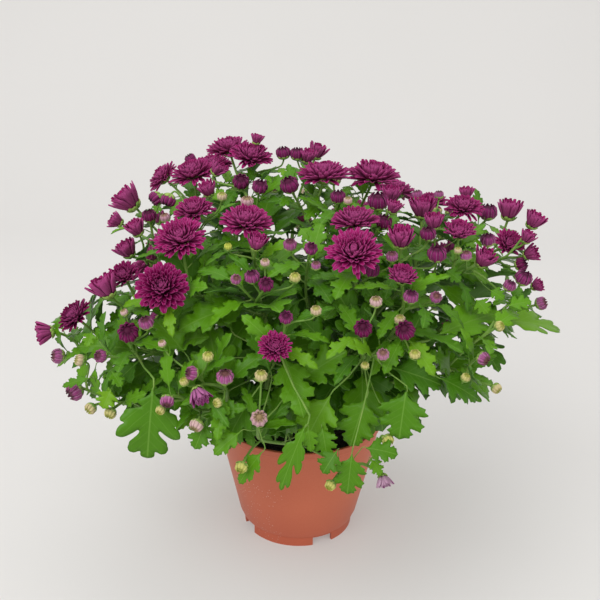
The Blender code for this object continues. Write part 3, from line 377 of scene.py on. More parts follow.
# Half outlines of leaves: along the leaf, and out from its midrib as a share.
DEEP_LEAF = (
    (0.00, 0.04), (0.06, 0.05), (0.10, 0.12), (0.135, 0.26), (0.175, 0.42), (0.215, 0.36),
    (0.245, 0.27), (0.27, 0.38), (0.295, 0.62), (0.325, 0.76), (0.37, 0.80), (0.42, 0.88),
    (0.455, 0.84), (0.475, 0.74), (0.50, 0.84), (0.54, 0.92), (0.60, 0.94), (0.645, 0.87),
    (0.65, 0.73), (0.625, 0.58), (0.59, 0.43), (0.565, 0.33), (0.585, 0.28), (0.63, 0.34),
    (0.68, 0.45), (0.73, 0.55), (0.785, 0.57), (0.84, 0.60), (0.89, 0.52), (0.905, 0.41),
    (0.885, 0.31), (0.875, 0.23), (0.90, 0.21), (0.94, 0.21), (0.97, 0.14), (1.00, 0.00),
)
SHALLOW_LEAF = (
    (0.00, 0.04), (0.09, 0.10), (0.16, 0.30), (0.19, 0.52), (0.24, 0.56), (0.27, 0.82),
    (0.33, 0.80), (0.38, 0.96), (0.43, 0.82), (0.44, 0.64), (0.42, 0.48), (0.47, 0.46),
    (0.51, 0.64), (0.57, 0.68), (0.62, 0.88), (0.67, 0.76), (0.73, 0.76), (0.72, 0.56),
    (0.71, 0.38), (0.76, 0.38), (0.81, 0.50), (0.86, 0.38), (0.91, 0.38), (0.94, 0.20),
    (1.00, 0.00),
)
SMALL_LEAF = (
    (0.00, 0.10), (0.14, 0.26), (0.26, 0.66), (0.34, 0.68), (0.42, 1.00), (0.50, 0.84),
    (0.52, 0.56), (0.60, 0.58), (0.68, 0.74), (0.76, 0.46), (0.86, 0.42), (0.93, 0.16),
    (1.00, 0.00),
)

# Templates of leaves: outline, parts of the curve between its points, rows and columns
# inside. A leaf longer than the limit has the first template of its pair.
TEMPLATE_ASPECT = 0.34
TEMPLATE_ROOM = 0.022
TEMPLATE_MERGE = 1e-6
LEAF_PAIR = (0.045, (DEEP_LEAF, 2, 16, 5), (SHALLOW_LEAF, 2, 14, 4))
FILLER_PAIR = (0.024, (SHALLOW_LEAF, 1, 10, 3), (SMALL_LEAF, 1, 8, 2))

# How far along each closed bud is, from 0 green over pink to 1 dark purple, in the
# order of BUD_HEADS, and then on the far side.
BUD_AGES = (
    1.0, 0.95, 0.85, 0.9, 0.9, 0.9, 1.0, 0.85, 0.75, 1.0, 1.0, 0.75, 1.0, 0.75, 0.9, 0.85, 0.55,
    0.5, 0.5, 0.45, 0.5, 0.55, 0.6, 0.6, 0.55, 0.6, 0.5, 0.35, 0.3, 0.1, 0.15, 0.15, 0.1, 0.05,
    0.05,
)
REAR_BUD_AGE = 0.75

# Blooms and half-open heads by number: how cupped, how much lighter or darker than the
# others, the one with broad outer petals, and those with petals of their own colours.
CUPPED_BLOOMS = {12: 0.9, 15: 0.8, 16: 0.5, 20: 0.4, 17: 0.6, 19: 0.3}
CUPPED_LEAST = (0.0, 0.25)
BLOOM_SHADES = {
    17: -0.44, 18: -0.22, 19: -0.70, 12: -0.26, 4: -0.10, 14: -0.12, 15: -0.12, 5: 0.12, 6: 0.18,
    7: 0.16, 11: 0.28,
}
BROADER = {18: 0.7}
HALF_HEAD_COLOURS = {12: "pale", 10: "bright"}

# Smaller heads that the solids leave out: across, down, width in millimetres, tilt,
# the way it faces, its age as above, or 2 where it is half open.
EXTRA_HEADS = (
    (115, 220, 13, 80, 150, 2), (135, 227, 15, 70, 120, 2), (308, 155, 15, 70, 80, 2),
    (283, 152, 12, 70, 100, 0.9), (297, 153, 12, 70, 90, 0.9), (257, 138, 11, 80, 80, 2),
    (394, 206, 12, 70, 70, 2), (466, 192, 13, 75, 90, 2), (528, 236, 13, 70, 60, 2),
    (532, 253, 14, 70, 20, 2), (155, 199, 11, 85, 220, 0.9), (168, 201, 11, 85, 250, 0.9),
    (538, 285, 11, 70, 20, 2), (434, 220, 15, 70, 90, 2), (428, 233, 11, 60, 90, 0.9),
    (437, 253, 13, 60, 90, 0.85), (522, 264, 11, 70, 20, 1.0), (252, 276, 10, 50, 100, 0.7),
    (488, 239, 11, 60, 90, 0.7), (290, 244, 9, 50, 90, 0.6), (146, 322, 10, 50, 110, 0.6),
    (411, 296, 10, 50, 80, 0.65), (510, 285, 9, 60, 60, 0.65), (392, 256, 8, 50, 90, 0.55),
    (466, 255, 8, 60, 90, 0.5), (247, 201, 9, 60, 90, 0.35), (222, 196, 7, 60, 90, 0.2),
    (165, 217, 7, 60, 110, 0.4), (190, 158, 9, 75, 120, 0.9), (348, 200, 6, 60, 90, 0.3),
    (376, 301, 8, 50, 90, 0.3), (316, 310, 7, 45, 90, 0.2), (316, 265, 6, 50, 90, 0.5),
    (400, 319, 7, 50, 90, 0.2), (415, 354, 7, 45, 90, 0.1), (365, 365, 5, 45, 90, 0.1),
    (417, 194, 8, 75, 100, 0.6), (439, 194, 7, 75, 90, 0.6), (458, 250, 5, 60, 90, 0.2),
    (466, 377, 6, 55, 60, 0.1), (79, 360, 8, 70, 170, 0.2), (124, 312, 5, 60, 120, 0.3),
    (162, 343, 5, 55, 110, 0.3), (208, 356, 7, 45, 90, 0.1), (184, 381, 6, 50, 120, 0.1),
    (261, 375, 8, 45, 90, 0.15), (265, 262, 6, 50, 90, 0.3), (295, 277, 7, 45, 90, 0.1),
    (228, 246, 5, 50, 90, 0.0), (160, 411, 6, 60, 240, 0.1), (217, 403, 6, 50, 200, 0.1),
    (388, 441, 8, 60, 300, 0.05), (207, 188, 14, 65, 110, 2), (219, 168, 15, 70, 50, 2),
)
HALF_OPEN_AGE = 2
EXTRA_STEPS = (0, 0.5, -0.5, 1.0, -1.0, 1.5)
EXTRA_TONES = (0.1, 0.9)

# A smaller head's or leaf's place on a stem: shares of a span, the least drop to it,
# and what its distance costs with no drop and how much less straight below.
SPAN_SHARES = (0.2, 0.5, 0.8)
DROP_SHARE = 0.4
DROP_LEAST = 0.006
ANY_DROP = -1.0
SIDE_COST = 2.6
DROP_GAIN = 1.6

# More leaves that hang where the photo shows them: where the blade starts and ends,
# its width in millimetres, and how far out on the dome it lies.
EXTRA_LEAVES = (
    (240, 432, 214, 456, 15, 0.97), (206, 422, 195, 450, 19, 0.95), (220, 422, 216, 447, 20, 0.93),
    (111, 390, 103, 409, 17, 1.00), (90, 378, 61, 388, 9, 1.00), (112, 372, 121, 387, 12, 0.98),
    (92, 332, 87, 347, 11, 1.00), (337, 451, 323, 474, 18, 0.99), (371, 459, 381, 476, 11, 0.98),
    (176, 392, 196, 420, 20, 0.90), (222, 172, 236, 186, 9, 0.92), (236, 190, 226, 206, 11, 0.90),
    (254, 182, 248, 168, 9, 0.90), (268, 176, 278, 190, 10, 0.90), (286, 176, 292, 192, 10, 0.90),
    (306, 186, 318, 198, 11, 0.90), (318, 206, 306, 220, 12, 0.88), (352, 196, 342, 208, 11, 0.90),
    (372, 204, 366, 220, 12, 0.90), (396, 214, 388, 230, 12, 0.90), (212, 200, 224, 190, 10, 0.90),
    (182, 200, 172, 214, 12, 0.92), (300, 228, 312, 242, 14, 0.86), (328, 232, 340, 220, 13, 0.86),
    (382, 250, 372, 266, 14, 0.88), (360, 282, 372, 296, 15, 0.86), (420, 246, 430, 262, 14, 0.88),
    (446, 270, 460, 282, 14, 0.90), (470, 262, 482, 274, 12, 0.92), (490, 290, 504, 300, 12, 0.94),
    (476, 300, 488, 314, 15, 0.90), (206, 262, 218, 276, 14, 0.88), (322, 428, 327, 458, 19, 0.96),
    (308, 428, 311, 452, 13, 0.95), (226, 184, 230, 169, 7, 0.92), (278, 168, 288, 178, 8, 0.92),
    (290, 166, 296, 180, 8, 0.92), (292, 197, 281, 206, 11, 0.90), (324, 232, 314, 219, 14, 0.86),
    (464, 237, 474, 248, 11, 0.92), (460, 272, 474, 284, 14, 0.88), (508, 306, 533, 302, 14, 0.98),
    (512, 298, 522, 288, 11, 0.96), (248, 178, 240, 190, 9, 0.90), (262, 172, 270, 182, 8, 0.92),
    (350, 186, 344, 196, 10, 0.92), (384, 200, 380, 212, 11, 0.90), (300, 168, 306, 180, 8, 0.92),
    (334, 190, 326, 200, 10, 0.90), (160, 206, 152, 216, 9, 0.94), (196, 188, 190, 198, 9, 0.92),
    (404, 230, 410, 242, 11, 0.90),
)

# Share of its depth in the picture that such a leaf keeps.
DEPTH_KEPT = 0.35

# Filler leaves between the larger ones, and bracts on thin stalks: spacing, least and
# greatest length, and widths as shares of the length.
FILLER_LOAD = 2
FILLERS = (0.011, (0.026, 0.052), (0.56, 0.72))
BRACTS = (0.008, (0.012, 0.032), (0.34, 0.58))
FILLER_DROOPS = (0.3, 0.9)
FILLER_HEIGHT = 0.006
FILLER_TRIALS = 16
SIGHT_MARGIN = 0.005
LIKE_WAY = 0.90

# The plant's outline in the picture, across and down, that filler leaves stay within.
PLANT_OUTLINE = (
    (36, 336), (52, 318), (66, 306), (84, 294), (96, 276), (110, 262), (108, 244), (106, 214),
    (116, 196), (136, 188), (152, 172), (172, 158), (196, 150), (216, 138), (262, 133), (274, 144),
    (312, 144), (326, 160), (378, 160), (404, 178), (410, 192), (436, 192), (466, 186), (500, 200),
    (534, 206), (546, 220), (536, 250), (542, 280), (550, 300), (538, 316), (562, 330), (536, 338),
    (510, 343), (502, 356), (495, 372), (502, 390), (484, 402), (462, 402), (444, 400), (430, 400),
    (427, 424), (412, 436), (400, 442), (378, 436), (228, 446), (214, 454), (194, 450), (178, 434),
    (168, 448), (150, 464), (132, 456), (121, 432), (120, 412), (104, 408), (92, 394), (74, 392),
    (58, 386), (50, 362), (46, 346),
)

# Material slots of a stem's piece.
STALK_SLOT, LEAF_SLOT, BUD_SLOT, PETAL_SLOT = range(4)

# Petal colours: heart, middle, tip, and back.
# The heart colour stands partly for the petals' own deeper base and partly for painted shade between
# them.
PETAL_COLOURS = {
    "": ((0.028, 0.001, 0.011), (0.165, 0.001, 0.056), (0.400, 0.016, 0.155),
         (0.450, 0.085, 0.260)),
    "pale": ((0.10, 0.01, 0.06), (0.34, 0.09, 0.26), (0.58, 0.34, 0.50), (0.60, 0.40, 0.52)),
    "bright": ((0.09, 0.006, 0.05), (0.27, 0.022, 0.17), (0.46, 0.10, 0.32), (0.52, 0.20, 0.40)),
}

# Bud colours by age: at its foot, at its tip, in its heart, and how pale its grooves are.
BUD_FOOT = (
    (0.0, (0.36, 0.47, 0.07)), (0.3, (0.64, 0.60, 0.36)), (0.5, (0.58, 0.34, 0.46)),
    (0.75, (0.31, 0.055, 0.20)), (1.0, (0.20, 0.012, 0.095)),
)
BUD_TIP = (
    (0.0, (0.52, 0.56, 0.09)), (0.3, (0.62, 0.42, 0.40)), (0.5, (0.34, 0.08, 0.23)),
    (0.75, (0.24, 0.024, 0.135)), (1.0, (0.16, 0.007, 0.075)),
)
# A young bud's heart is its own green; an older bud's near-black heart is painted shade in the hole
# between its tips.
BUD_HEART_COLOUR_AND_SHADE = (
    (0.15, (0.34, 0.38, 0.05)), (0.40, (0.20, 0.12, 0.04)), (0.65, (0.045, 0.006, 0.020)),
)
BUD_GROOVE = ((0.15, 0.1), (0.45, 0.5), (0.9, 0.16))
BUD_PALE = (0.66, 0.44, 0.56)

# Greens of leaves by tone, with their blotches, veins and underside, and of stalks.
LEAF_GREENS = (
    (0.0, (0.015, 0.062, 0.002)), (0.45, (0.050, 0.170, 0.003)), (0.8, (0.105, 0.285, 0.004)),
    (1.0, (0.170, 0.350, 0.007)),
)
LEAF_BLOTCH = (0.062, 0.170, 0.008)
LEAF_VEIN = (0.20, 0.38, 0.06)
LEAF_UNDER = (0.13, 0.25, 0.08)
STALK_GREENS = (
    (0.1, (0.055, 0.155, 0.014)), (0.55, (0.150, 0.290, 0.045)), (1.0, (0.420, 0.520, 0.130)),
)

# Pot, soil and paper.
TERRACOTTA = ((0.3, (0.475, 0.096, 0.041)), (0.7, (0.590, 0.138, 0.063)))
TERRACOTTA_GRAIN = (0.70, 0.26, 0.15)
TERRACOTTA_LIME = (0.72, 0.60, 0.52)
# Painted shade: the darker colour that the pot's foot takes on.
TERRACOTTA_FOOT_SHADE = (0.40, 0.062, 0.026)
SOIL_BROWNS = (
    (0.3, (0.004, 0.003, 0.002)), (0.6, (0.022, 0.015, 0.010)), (0.8, (0.060, 0.038, 0.022)),
)
PAPER = ((0.3, (0.466, 0.458, 0.446)), (0.7, (0.484, 0.475, 0.464)))
# The paper's glow is painted light: it lifts the plant's shadow on the floor.
PAPER_GLOW = (1.0, 0.983, 0.958, 1.0)
PAPER_GLOW_STRENGTH = 0.26

# Stage, lights and camera. A light's name, place, size in metres and power in watts.
FLOOR_REACH = 3.0
BACKDROP_AT = 0.9
BACKDROP_RADIUS = 0.6
BACKDROP_STEPS = 12
LIGHTS = (
    ("key", (-0.9, -1.3, 1.7), 1.6, 27.0), ("fill", (1.5, -1.2, 0.9), 2.0, 7.0),
    ("top", (0.0, 0.3, 2.0), 1.6, 10.0),
)
LIT_POINT = Vector((0, 0, 0.15))
WORLD_COLOUR = (1.0, 0.99, 0.98, 1.0)
WORLD_STRENGTH = 0.6
LENS = 51.0
SENSOR = 36.0


def view_axes():
    """The right, up and forward directions of the view."""
    down = math.radians(VIEW_DOWN)
    roll = math.radians(VIEW_ROLL)
    forward = Vector((0.0, math.cos(down), -math.sin(down)))
    level_up = Vector((0.0, math.sin(down), math.cos(down)))
    level_right = Vector((1.0, 0.0, 0.0))
    right = level_right * math.cos(roll) - level_up * math.sin(roll)
    up = level_right * math.sin(roll) + level_up * math.cos(roll)
    return right, up, forward


def sight_line(across, down):
    """The direction of a picture point, with a length of one along the view."""
    right, up, forward = view_axes()
    sideways = (across - VIEW_MIDDLE) / VIEW_FOCAL
    upward = (VIEW_MIDDLE - down) / VIEW_FOCAL
    return forward + right * sideways + up * upward


def picture_place(point):
    """Where a point shows in the picture, and how far away it is."""
    right, up, forward = view_axes()
    gap = point - VIEW_AT
    away = gap.dot(forward)
    across = VIEW_MIDDLE + VIEW_FOCAL * gap.dot(right) / away
    down = VIEW_MIDDLE - VIEW_FOCAL * gap.dot(up) / away
    return across, down, away


def dome_level(point, scale=1.0):
    """One on the dome's surface, less inside it."""
    total = 0.0
    for axis in range(3):
        share = abs(point[axis] - DOME_MIDDLE[axis]) / (DOME_SIZE[axis] * scale)
        total += share ** DOME_POWER
    return total


def dome_point(across, down, scale=1.0):
    """Where a sight line first meets the dome, or where it passes nearest to it."""
    ray = sight_line(across, down)
    nearest = None
    for step in range(MARCH_COUNT):
        point = VIEW_AT + ray * (NEAR_DEPTH + MARCH_STEP * step)
        level = dome_level(point, scale)
        if level <= 1.0:
            return point
        if nearest is None or level < nearest[0]:
            nearest = (level, point)
    return nearest[1]


def swing(one, two, angle):
    """The direction at an angle from one direction towards another, square one."""
    return one * math.cos(angle) + two * math.sin(angle)


def square_to(way, vector):
    """The part of a vector that is square to a way, with a length of one."""
    return (vector - way * vector.dot(way)).normalized()


def head_axis(point, tilt, turn):
    """The way a head faces, from its tilt and its direction in the picture."""
    right, up, forward = view_axes()
    to_viewer = (VIEW_AT - point).normalized()
    flat = square_to(to_viewer, swing(right, up, math.radians(turn)))
    return swing(to_viewer, flat, math.radians(tilt)).normalized()


def seen_head(kind, row):
    """A head placed on its sight line."""
    across, down, width, tilt, turn, step = row
    ray = sight_line(across, down)
    point = dome_point(across, down) + ray * DEPTH_STEP * step
    return {
        "kind": kind,
        "at": point,
        "axis": head_axis(point, tilt, turn),
        "width": width * MM,
        "ray": ray.normalized(),
        "seen": True,
    }


def rear_point(rng, low, high):
    """A point on the far side of the dome, and the way out from the middle there."""
    turn = math.radians(rng.uniform(*REAR_TURNS))
    lift = math.radians(rng.uniform(low, high))
    flat = math.cos(lift)
    out = Vector((math.cos(turn) * flat, math.sin(turn) * flat, math.sin(lift)))
    reach = dome_level(DOME_MIDDLE + out) ** (-1.0 / DOME_POWER)
    return DOME_MIDDLE + out * reach * REAR_REACH, out


def hold_behind(point):
    """Move a point inwards where it lies too far out at the dome's left or right."""
    point.x = max(-REAR_WIDE, min(REAR_WIDE, point.x))


def rear_head(kind, widths, lifts, rises, trials, others, rng, held=False):
    """A head on the far side, with the most room of a few seeded trials."""
    best = None
    for trial in range(trials):
        point, out = rear_point(rng, *lifts)
        if held:
            hold_behind(point)
        room = min((point - other["at"]).length - 0.5 * other["width"] for other in others)
        if best is None or room > best[0]:
            best = (room, point, out)
    room, point, out = best
    hold_behind(point)
    return {
        "kind": kind,
        "at": point,
        "axis": (out + Vector((0, 0, rng.uniform(*rises)))).normalized(),
        "width": rng.uniform(*widths) * MM,
        "ray": out,
        "seen": False,
    }


def rear_heads(front):
    """Heads on the far side, spaced by a seeded rule."""
    rng = random.Random(SEED)
    heads = []
    for kind, count, widths, lifts in REAR_HEADS:
        for index in range(count):
            heads.append(rear_head(kind, widths, lifts, REAR_RISES, REAR_TRIALS,
                                   front + heads, rng))
    return heads


def spread_heads(heads):
    """Slide heads along their sight lines until none of them touch."""
    for sweep in range(SPREAD_SWEEPS):
        for number, one in enumerate(heads):
            for two in heads[number + 1:]:
                room = ROOM_SHARE[one["kind"]] * one["width"]
                room += ROOM_SHARE[two["kind"]] * two["width"] + HEAD_ROOM
                gap = two["at"] - one["at"]
                short = room - gap.length
                if short <= 0.0:
                    continue
                sign = 1.0 if gap.dot(one["ray"]) >= 0.0 else -1.0
                slide = sign * short * SPREAD_SHARE
                one["at"] = one["at"] - one["ray"] * slide
                two["at"] = two["at"] + two["ray"] * slide
    return heads


def all_heads():
    """Every head of the solids: first those seen from the front."""
    front = [seen_head(kind, row) for kind, rows in SEEN_HEADS for row in rows]
    return spread_heads(front + rear_heads(front))


def disc_place(turn, spread):
    """A place on the fan's disc."""
    return Vector((math.cos(turn) * spread, math.sin(turn) * spread, 0.0))


def fan_place(point):
    """A point's direction from the crown, as a place on a disc seen from above."""
    out = point - CROWN
    polar = math.acos(max(-1.0, min(1.0, out.z / out.length)))
    return disc_place(math.atan2(out.y, out.x), polar / math.radians(FAN_ANGLE))


def nearest_place(places, spot):
    return min(range(len(places)), key=lambda number: (places[number] - spot).length)


def stem_places(heads):
    """One place for each stem on the disc, each in the middle of its own heads."""
    places = []
    for ring_number, (count, spread) in enumerate(STEM_RINGS):
        for index in range(count):
            turn = 2 * math.pi * (index + 0.5 * ring_number) / count - math.pi / 2
            places.append(disc_place(turn, spread))
    spots = [fan_place(head["at"]) for head in heads]
    for sweep in range(PLACE_SWEEPS):
        groups = [[] for place in places]
        for spot in spots:
            groups[nearest_place(places, spot)].append(spot)
        for number, group in enumerate(groups):
            if group:
                middle = sum(group, Vector((0, 0, 0))) / len(group)
                places[number] = places[number] * PLACE_KEPT + middle * PLACE_PULL
    return places


def seat_of(head):
    """Where the head meets its stalk."""
    return head["at"] - head["axis"] * head["width"] * SEAT_SHARE[head["kind"]]


def stalk_tree(foot, heads):
    """Join heads pair by pair into a branching stem that ends near its foot."""
    base = foot + Vector((0, 0, FORK_BASE))
    tips = []
    for head in heads:
        end = seat_of(head) + head["axis"] * head["width"] * STALK_SINK[head["kind"]]
        tips.append({"at": end, "axis": head["axis"], "kids": [], "head": head, "load": 1})
    while len(tips) > 1:
        span, first, second = min(
            ((tips[one]["at"] - tips[two]["at"]).length, one, two)
            for one, two in itertools.combinations(range(len(tips)), 2))
        two = tips.pop(second)
        one = tips.pop(first)
        middle = (one["at"] + two["at"]) * 0.5
        inward = base - middle
        drop = min(0.5 * span + FORK_DROP, FORK_DROP_MOST * inward.length)
        tips.append({
            "at": middle + inward.normalized() * drop,
            "axis": -inward.normalized(),
            "kids": [one, two],
            "head": None,
            "load": one["load"] + two["load"],
        })
    return tips[0]


def side_frame(direction):
    """Two directions square to the given one and to each other."""
    upright = abs(direction.z) >= NEARLY_UPRIGHT
    one = direction.cross(Vector((1, 0, 0)) if upright else Vector((0, 0, 1))).normalized()
    return one, direction.cross(one).normalized()


def circle(middle, one, two, radius, count):
    """Points round a circle that two square directions span."""
    return [middle + swing(one, two, 2 * math.pi * index / count) * radius
            for index in range(count)]


def join_rings(faces, low, high, count):
    """Triangles between two rings that start at the same angle."""
    for index in range(count):
        after = (index + 1) % count
        faces.append([low + index, low + after, high + index])
        faces.append([low + after, high + after, high + index])


def tube(path, radii, sides):
    """A closed tube along a path."""
    verts = []
    faces = []
    one = side_frame((path[1] - path[0]).normalized())[0]
    last = len(path) - 1
    for step, point in enumerate(path):
        direction = (path[min(step + 1, last)] - path[max(step - 1, 0)]).normalized()
        one = square_to(direction, one)
        verts += circle(point, one, direction.cross(one), radii[step], sides)
    for step in range(last):
        join_rings(faces, step * sides, (step + 1) * sides, sides)
    return verts, faces + [list(range(sides)), list(range(last * sides, len(verts)))]


def bent_path(start, start_way, end, end_way, steps):
    """Points on a smooth curve that leaves and arrives along the given directions."""
    reach = (end - start).length * BEND_REACH
    first = start + start_way * reach
    second = end - end_way * reach
    path = []
    for step in range(steps + 1):
        share = step / steps
        rest = 1.0 - share
        path.append(start * rest ** 3 + first * (3 * rest * rest * share)
                    + second * (3 * rest * share * share) + end * share ** 3)
    return path


def surface(shape):
    """The search tree of a shape's vertices and faces."""
    verts, faces = shape
    return BVHTree.FromPolygons([tuple(vert) for vert in verts], faces)


def clashes(shape, own, taken):
    """How many pieces with another owner a shape runs into."""
    tree = surface(shape)
    return sum(1 for owner, other in taken if owner != own and tree.overlap(other))


def clear_path(start, start_way, end, end_way, radii, sides, own, taken):
    """The least bent path between two points that runs into nothing else."""
    one, two = side_frame((end - start).normalized())
    thick = [radius + CLEARANCE for radius in radii]
    best = None
    for bulge in BULGES:
        for turn in range(BULGE_TURNS if bulge else 1):
            push = swing(one, two, 2 * math.pi * turn / BULGE_TURNS) * bulge
            path = bent_path(start, start_way, end, end_way, len(radii) - 1)
            path[1:-1] = [point + push for point in path[1:-1]]
            hits = clashes(tube(path, thick, sides), own, taken)
            if best is None or hits < best[0]:
                best = (hits, path)
            if hits == 0:
                return path
    return best[1]


def stem_radius(load):
    """A limb's radius, from how many heads it carries."""
    return min(STEM_RADIUS_MOST, STALK_RADIUS + STALK_GROWTH * math.sqrt(load))


def curve_steps(span):
    """More steps on a longer limb."""
    return 1 + (span >= SHORT_SPAN) + (span >= LONG_SPAN)


def grow_limb(stem, own, taken, start, start_way, node, thick, rooted):
    """A limb that follows its heavier forks to a head, with its side limbs."""
    sides = HEAVY_SIDES if node["load"] > HEAVY_LOAD else LIGHT_SIDES
    path = list(rooted)
    radii = [thick] * len(rooted)
    forks = []
    while True:
        end_radius = stem_radius(node["load"]) * LIMB_TAPER
        steps = curve_steps((node["at"] - start).length)
        part = [thick + (end_radius - thick) * step / steps for step in range(steps + 1)]
        run = clear_path(start, start_way, node["at"], node["axis"], part, sides, own, taken)
        stem["paths"].append((run, node["load"]))
        taken.append((own, surface(tube(run, part, sides))))
        skip = 1 if path else 0
        path += run[skip:]
        radii += part[skip:]
        if not node["kids"]:
            break
        heavy, light = sorted(node["kids"], key=lambda kid: -kid["load"])
        forks.append((node, light, end_radius))
        start = node["at"]
        start_way = node["axis"]
        thick = end_radius
        node = heavy
    stem["limbs"].append((path, radii, node["head"]))
    for fork, kid, radius in forks:
        leave = (fork["axis"] * FORK_LEAN + (kid["at"] - fork["at"]).normalized()).normalized()
        slim = min(stem_radius(kid["load"]), radius * SIDE_LIMB_SHARE)
        grow_limb(stem, own, taken, fork["at"], leave, kid, slim, ())


def grow_stem(stem, own, taken):
    """One stem, from its foot in the soil to every one of its heads."""
    foot = stem["foot"]
    collar = foot + Vector((0, 0, COLLAR_HEIGHT))
    rooted = (foot - Vector((0, 0, STEM_DEPTH - SEAT_GAP)), collar)
    taken.append((own, surface(tube(rooted, (FOOT_THICK, FOOT_THICK), FOOT_SIDES))))
    lean = (Vector((foot.x, foot.y, 0.0)) * FOOT_LEAN + Vector((0, 0, 1))).normalized()
    grow_limb(stem, own, taken, collar, lean, stalk_tree(foot, stem["heads"]), FOOT_THICK, rooted)


def grow_stems(heads, taken):
    """Share the heads out between the stems and branch each stem to its own."""
    places = stem_places(heads)
    stems = []
    for place in places:
        foot = Vector((place.x * FOOT_SPREAD, place.y * FOOT_SPREAD, SOIL_TOP))
        stems.append({"foot": foot, "heads": [], "limbs": [], "paths": []})
    for head in heads:
        stems[nearest_place(places, fan_place(head["at"]))]["heads"].append(head)
    stems = [stem for stem in stems if stem["heads"]]
    for number, stem in enumerate(stems):
        for head in stem["heads"]:
            own = number if head["kind"] == "bud" else len(stems) + heads.index(head)
            taken.append((own, surface(head_in_place(head))))
    for number, stem in enumerate(stems):
        grow_stem(stem, number, taken)
    return stems


def rim_edges(tris):
    """The directed edges that belong to one triangle only."""
    edges = {(tri[index], tri[(index + 1) % 3]) for tri in tris for index in range(3)}
    return [edge for edge in sorted(edges) if edge[::-1] not in edges]


def two_sided(tris, count):
    """The triangles of both faces of a sheet with so many points on each."""
    under = [[count + corner for corner in reversed(tri)] for tri in tris]
    return [list(tri) for tri in tris] + under


def plate(points, tris, normals, thickness):
    """A thin closed plate: the same triangles on both faces, joined round the edge."""
    half = thickness * 0.5
    count = len(points)
    verts = [point + normal * half for point, normal in zip(points, normals)]
    verts += [point - normal * half for point, normal in zip(points, normals)]
    faces = two_sided(tris, count)
    for start, end in rim_edges(tris):
        faces.append([end, start, count + start])
        faces.append([end, count + start, count + end])
    return verts, faces


def zip_rows(outer, inner, places):
    """Triangles between two rows of points that share their last point."""
    tris = []
    i = 0
    j = 0
    while i < len(outer) - 1 or j < len(inner) - 1:
        move_outer = j >= len(inner) - 1
        if i < len(outer) - 1 and j < len(inner) - 1:
            move_outer = places[outer[i + 1]] <= places[inner[j + 1]]
        corners = [outer[i], outer[i + 1] if move_outer else inner[j + 1], inner[j]]
        if len(set(corners)) == 3:
            tris.append(tuple(corners))
        if move_outer:
            i += 1
        else:
            j += 1
    return tris


def leaf_frame(leaf):
    """The way a leaf points and the way its face looks, square to each other."""
    way = leaf["way"].normalized()
    return way, square_to(way, leaf["up"])


def leaf_spine(leaf, way, up, share):
    """A point along a drooping leaf's midrib, and the way its face looks there."""
    point = leaf["at"]
    for step in range(SPINE_STEPS):
        angle = leaf["droop"] * (step + 0.5) / SPINE_STEPS * share
        ahead = way * math.cos(angle) - up * math.sin(angle)
        point = point + ahead * (leaf["length"] * share / SPINE_STEPS)
    return point, swing(up, way, leaf["droop"] * share)


def leaf_plate(leaf, grow=0.0, stalked=True):
    """The plain blade of a leaf, with its stalk or without it, as one plate."""
    outline, ribs = LEAF_FORMS[leaf["form"]]
    way, up = leaf_frame(leaf)
    side = way.cross(up).normalized()
    half = leaf["width"] * 0.5
    points = []
    normals = []
    places = []

    def add(share, sideways):
        point, normal = leaf_spine(leaf, way, up, share)
        points.append(point + side * sideways + normal * abs(sideways) * leaf["fold"])
        normals.append(normal)
        places.append(share)
        return len(points) - 1

    left = [add(share, -part * half) for share, part in outline]
    right = [add(share, part * half) for share, part in outline]
    rib = [add(share, 0.0) for share in ribs]
    tip = add(1.0, 0.0)
    tris = zip_rows(left + [tip], rib + [tip], places)
    tris += [(a, c, b) for a, b, c in zip_rows(right + [tip], rib + [tip], places)]
    if stalked:
        low = len(points)
        high = low + 1
        points += [leaf["root"] + side * sign * LEAF_STALK_HALF for sign in (-1.0, 1.0)]
        normals += [up, up]
        tris += [(low, left[0], rib[0]), (low, rib[0], high), (high, rib[0], right[0])]
    else:
        tris += [(left[0], rib[0], right[0])]
    return plate(points, tris, normals, LEAF_THICKNESS + grow)


def path_length(path):
    """The length of a path's straight parts."""
    return sum((high - low).length for low, high in zip(path, path[1:]))


def path_spot(path, share):
    """The point at a share of a path's steps, and the path's direction there."""
    place = share * (len(path) - 1)
    low = min(int(place), len(path) - 2)
    way = (path[low + 1] - path[low]).normalized()
    return path[low].lerp(path[low + 1], place - low), way


def leaf_spots(stem, least_load, spacing, lowest):
    """Points along a stem where its leaves stand, with the stem's direction there."""
    spots = []
    for path, load in stem["paths"]:
        if load < least_load:
            continue
        count = 1 + int(path_length(path) / spacing)
        for index in range(count):
            point, way = path_spot(path, 1.0 - (index + LEAF_SPOT) / count)
            if point.z > lowest:
                spots.append((point, way, load))
    return sorted(spots, key=lambda spot: spot[0].z)


def keep_leaf(leaf, leaves, taken):
    """Keep a leaf where its blade is clear of everything and its stalk of other stems."""
    for stalked, own in ((True, leaf["stem"]), (False, None)):
        if clashes(leaf_plate(leaf, 2 * CLEARANCE, stalked), own, taken):
            return False
    leaves.append(leaf)
    taken.append((leaf["stem"], surface(leaf_plate(leaf))))
    return True


def stem_spans(stems):
    """Every straight span of the stems, with its stem's number."""
    for number, stem in enumerate(stems):
        for path, load in stem["paths"]:
            for low, high in zip(path, path[1:]):
                yield number, low, high


def nearest_root(stems, base, way):
    """The nearest place on a stem that lies behind a leaf's base."""
    nearest = None
    for number, low, high in stem_spans(stems):
        point = low.lerp(high, ROOT_SHARE)
        stalk = base - point
        length = stalk.length
        if point.z < SOIL_TOP + ROOT_HEIGHT or stalk.dot(way) < ROOT_BEHIND * length:
            continue
        if length > ROOT_LEAST and (nearest is None or length < nearest[0]):
            nearest = (length, point, number)
    return nearest


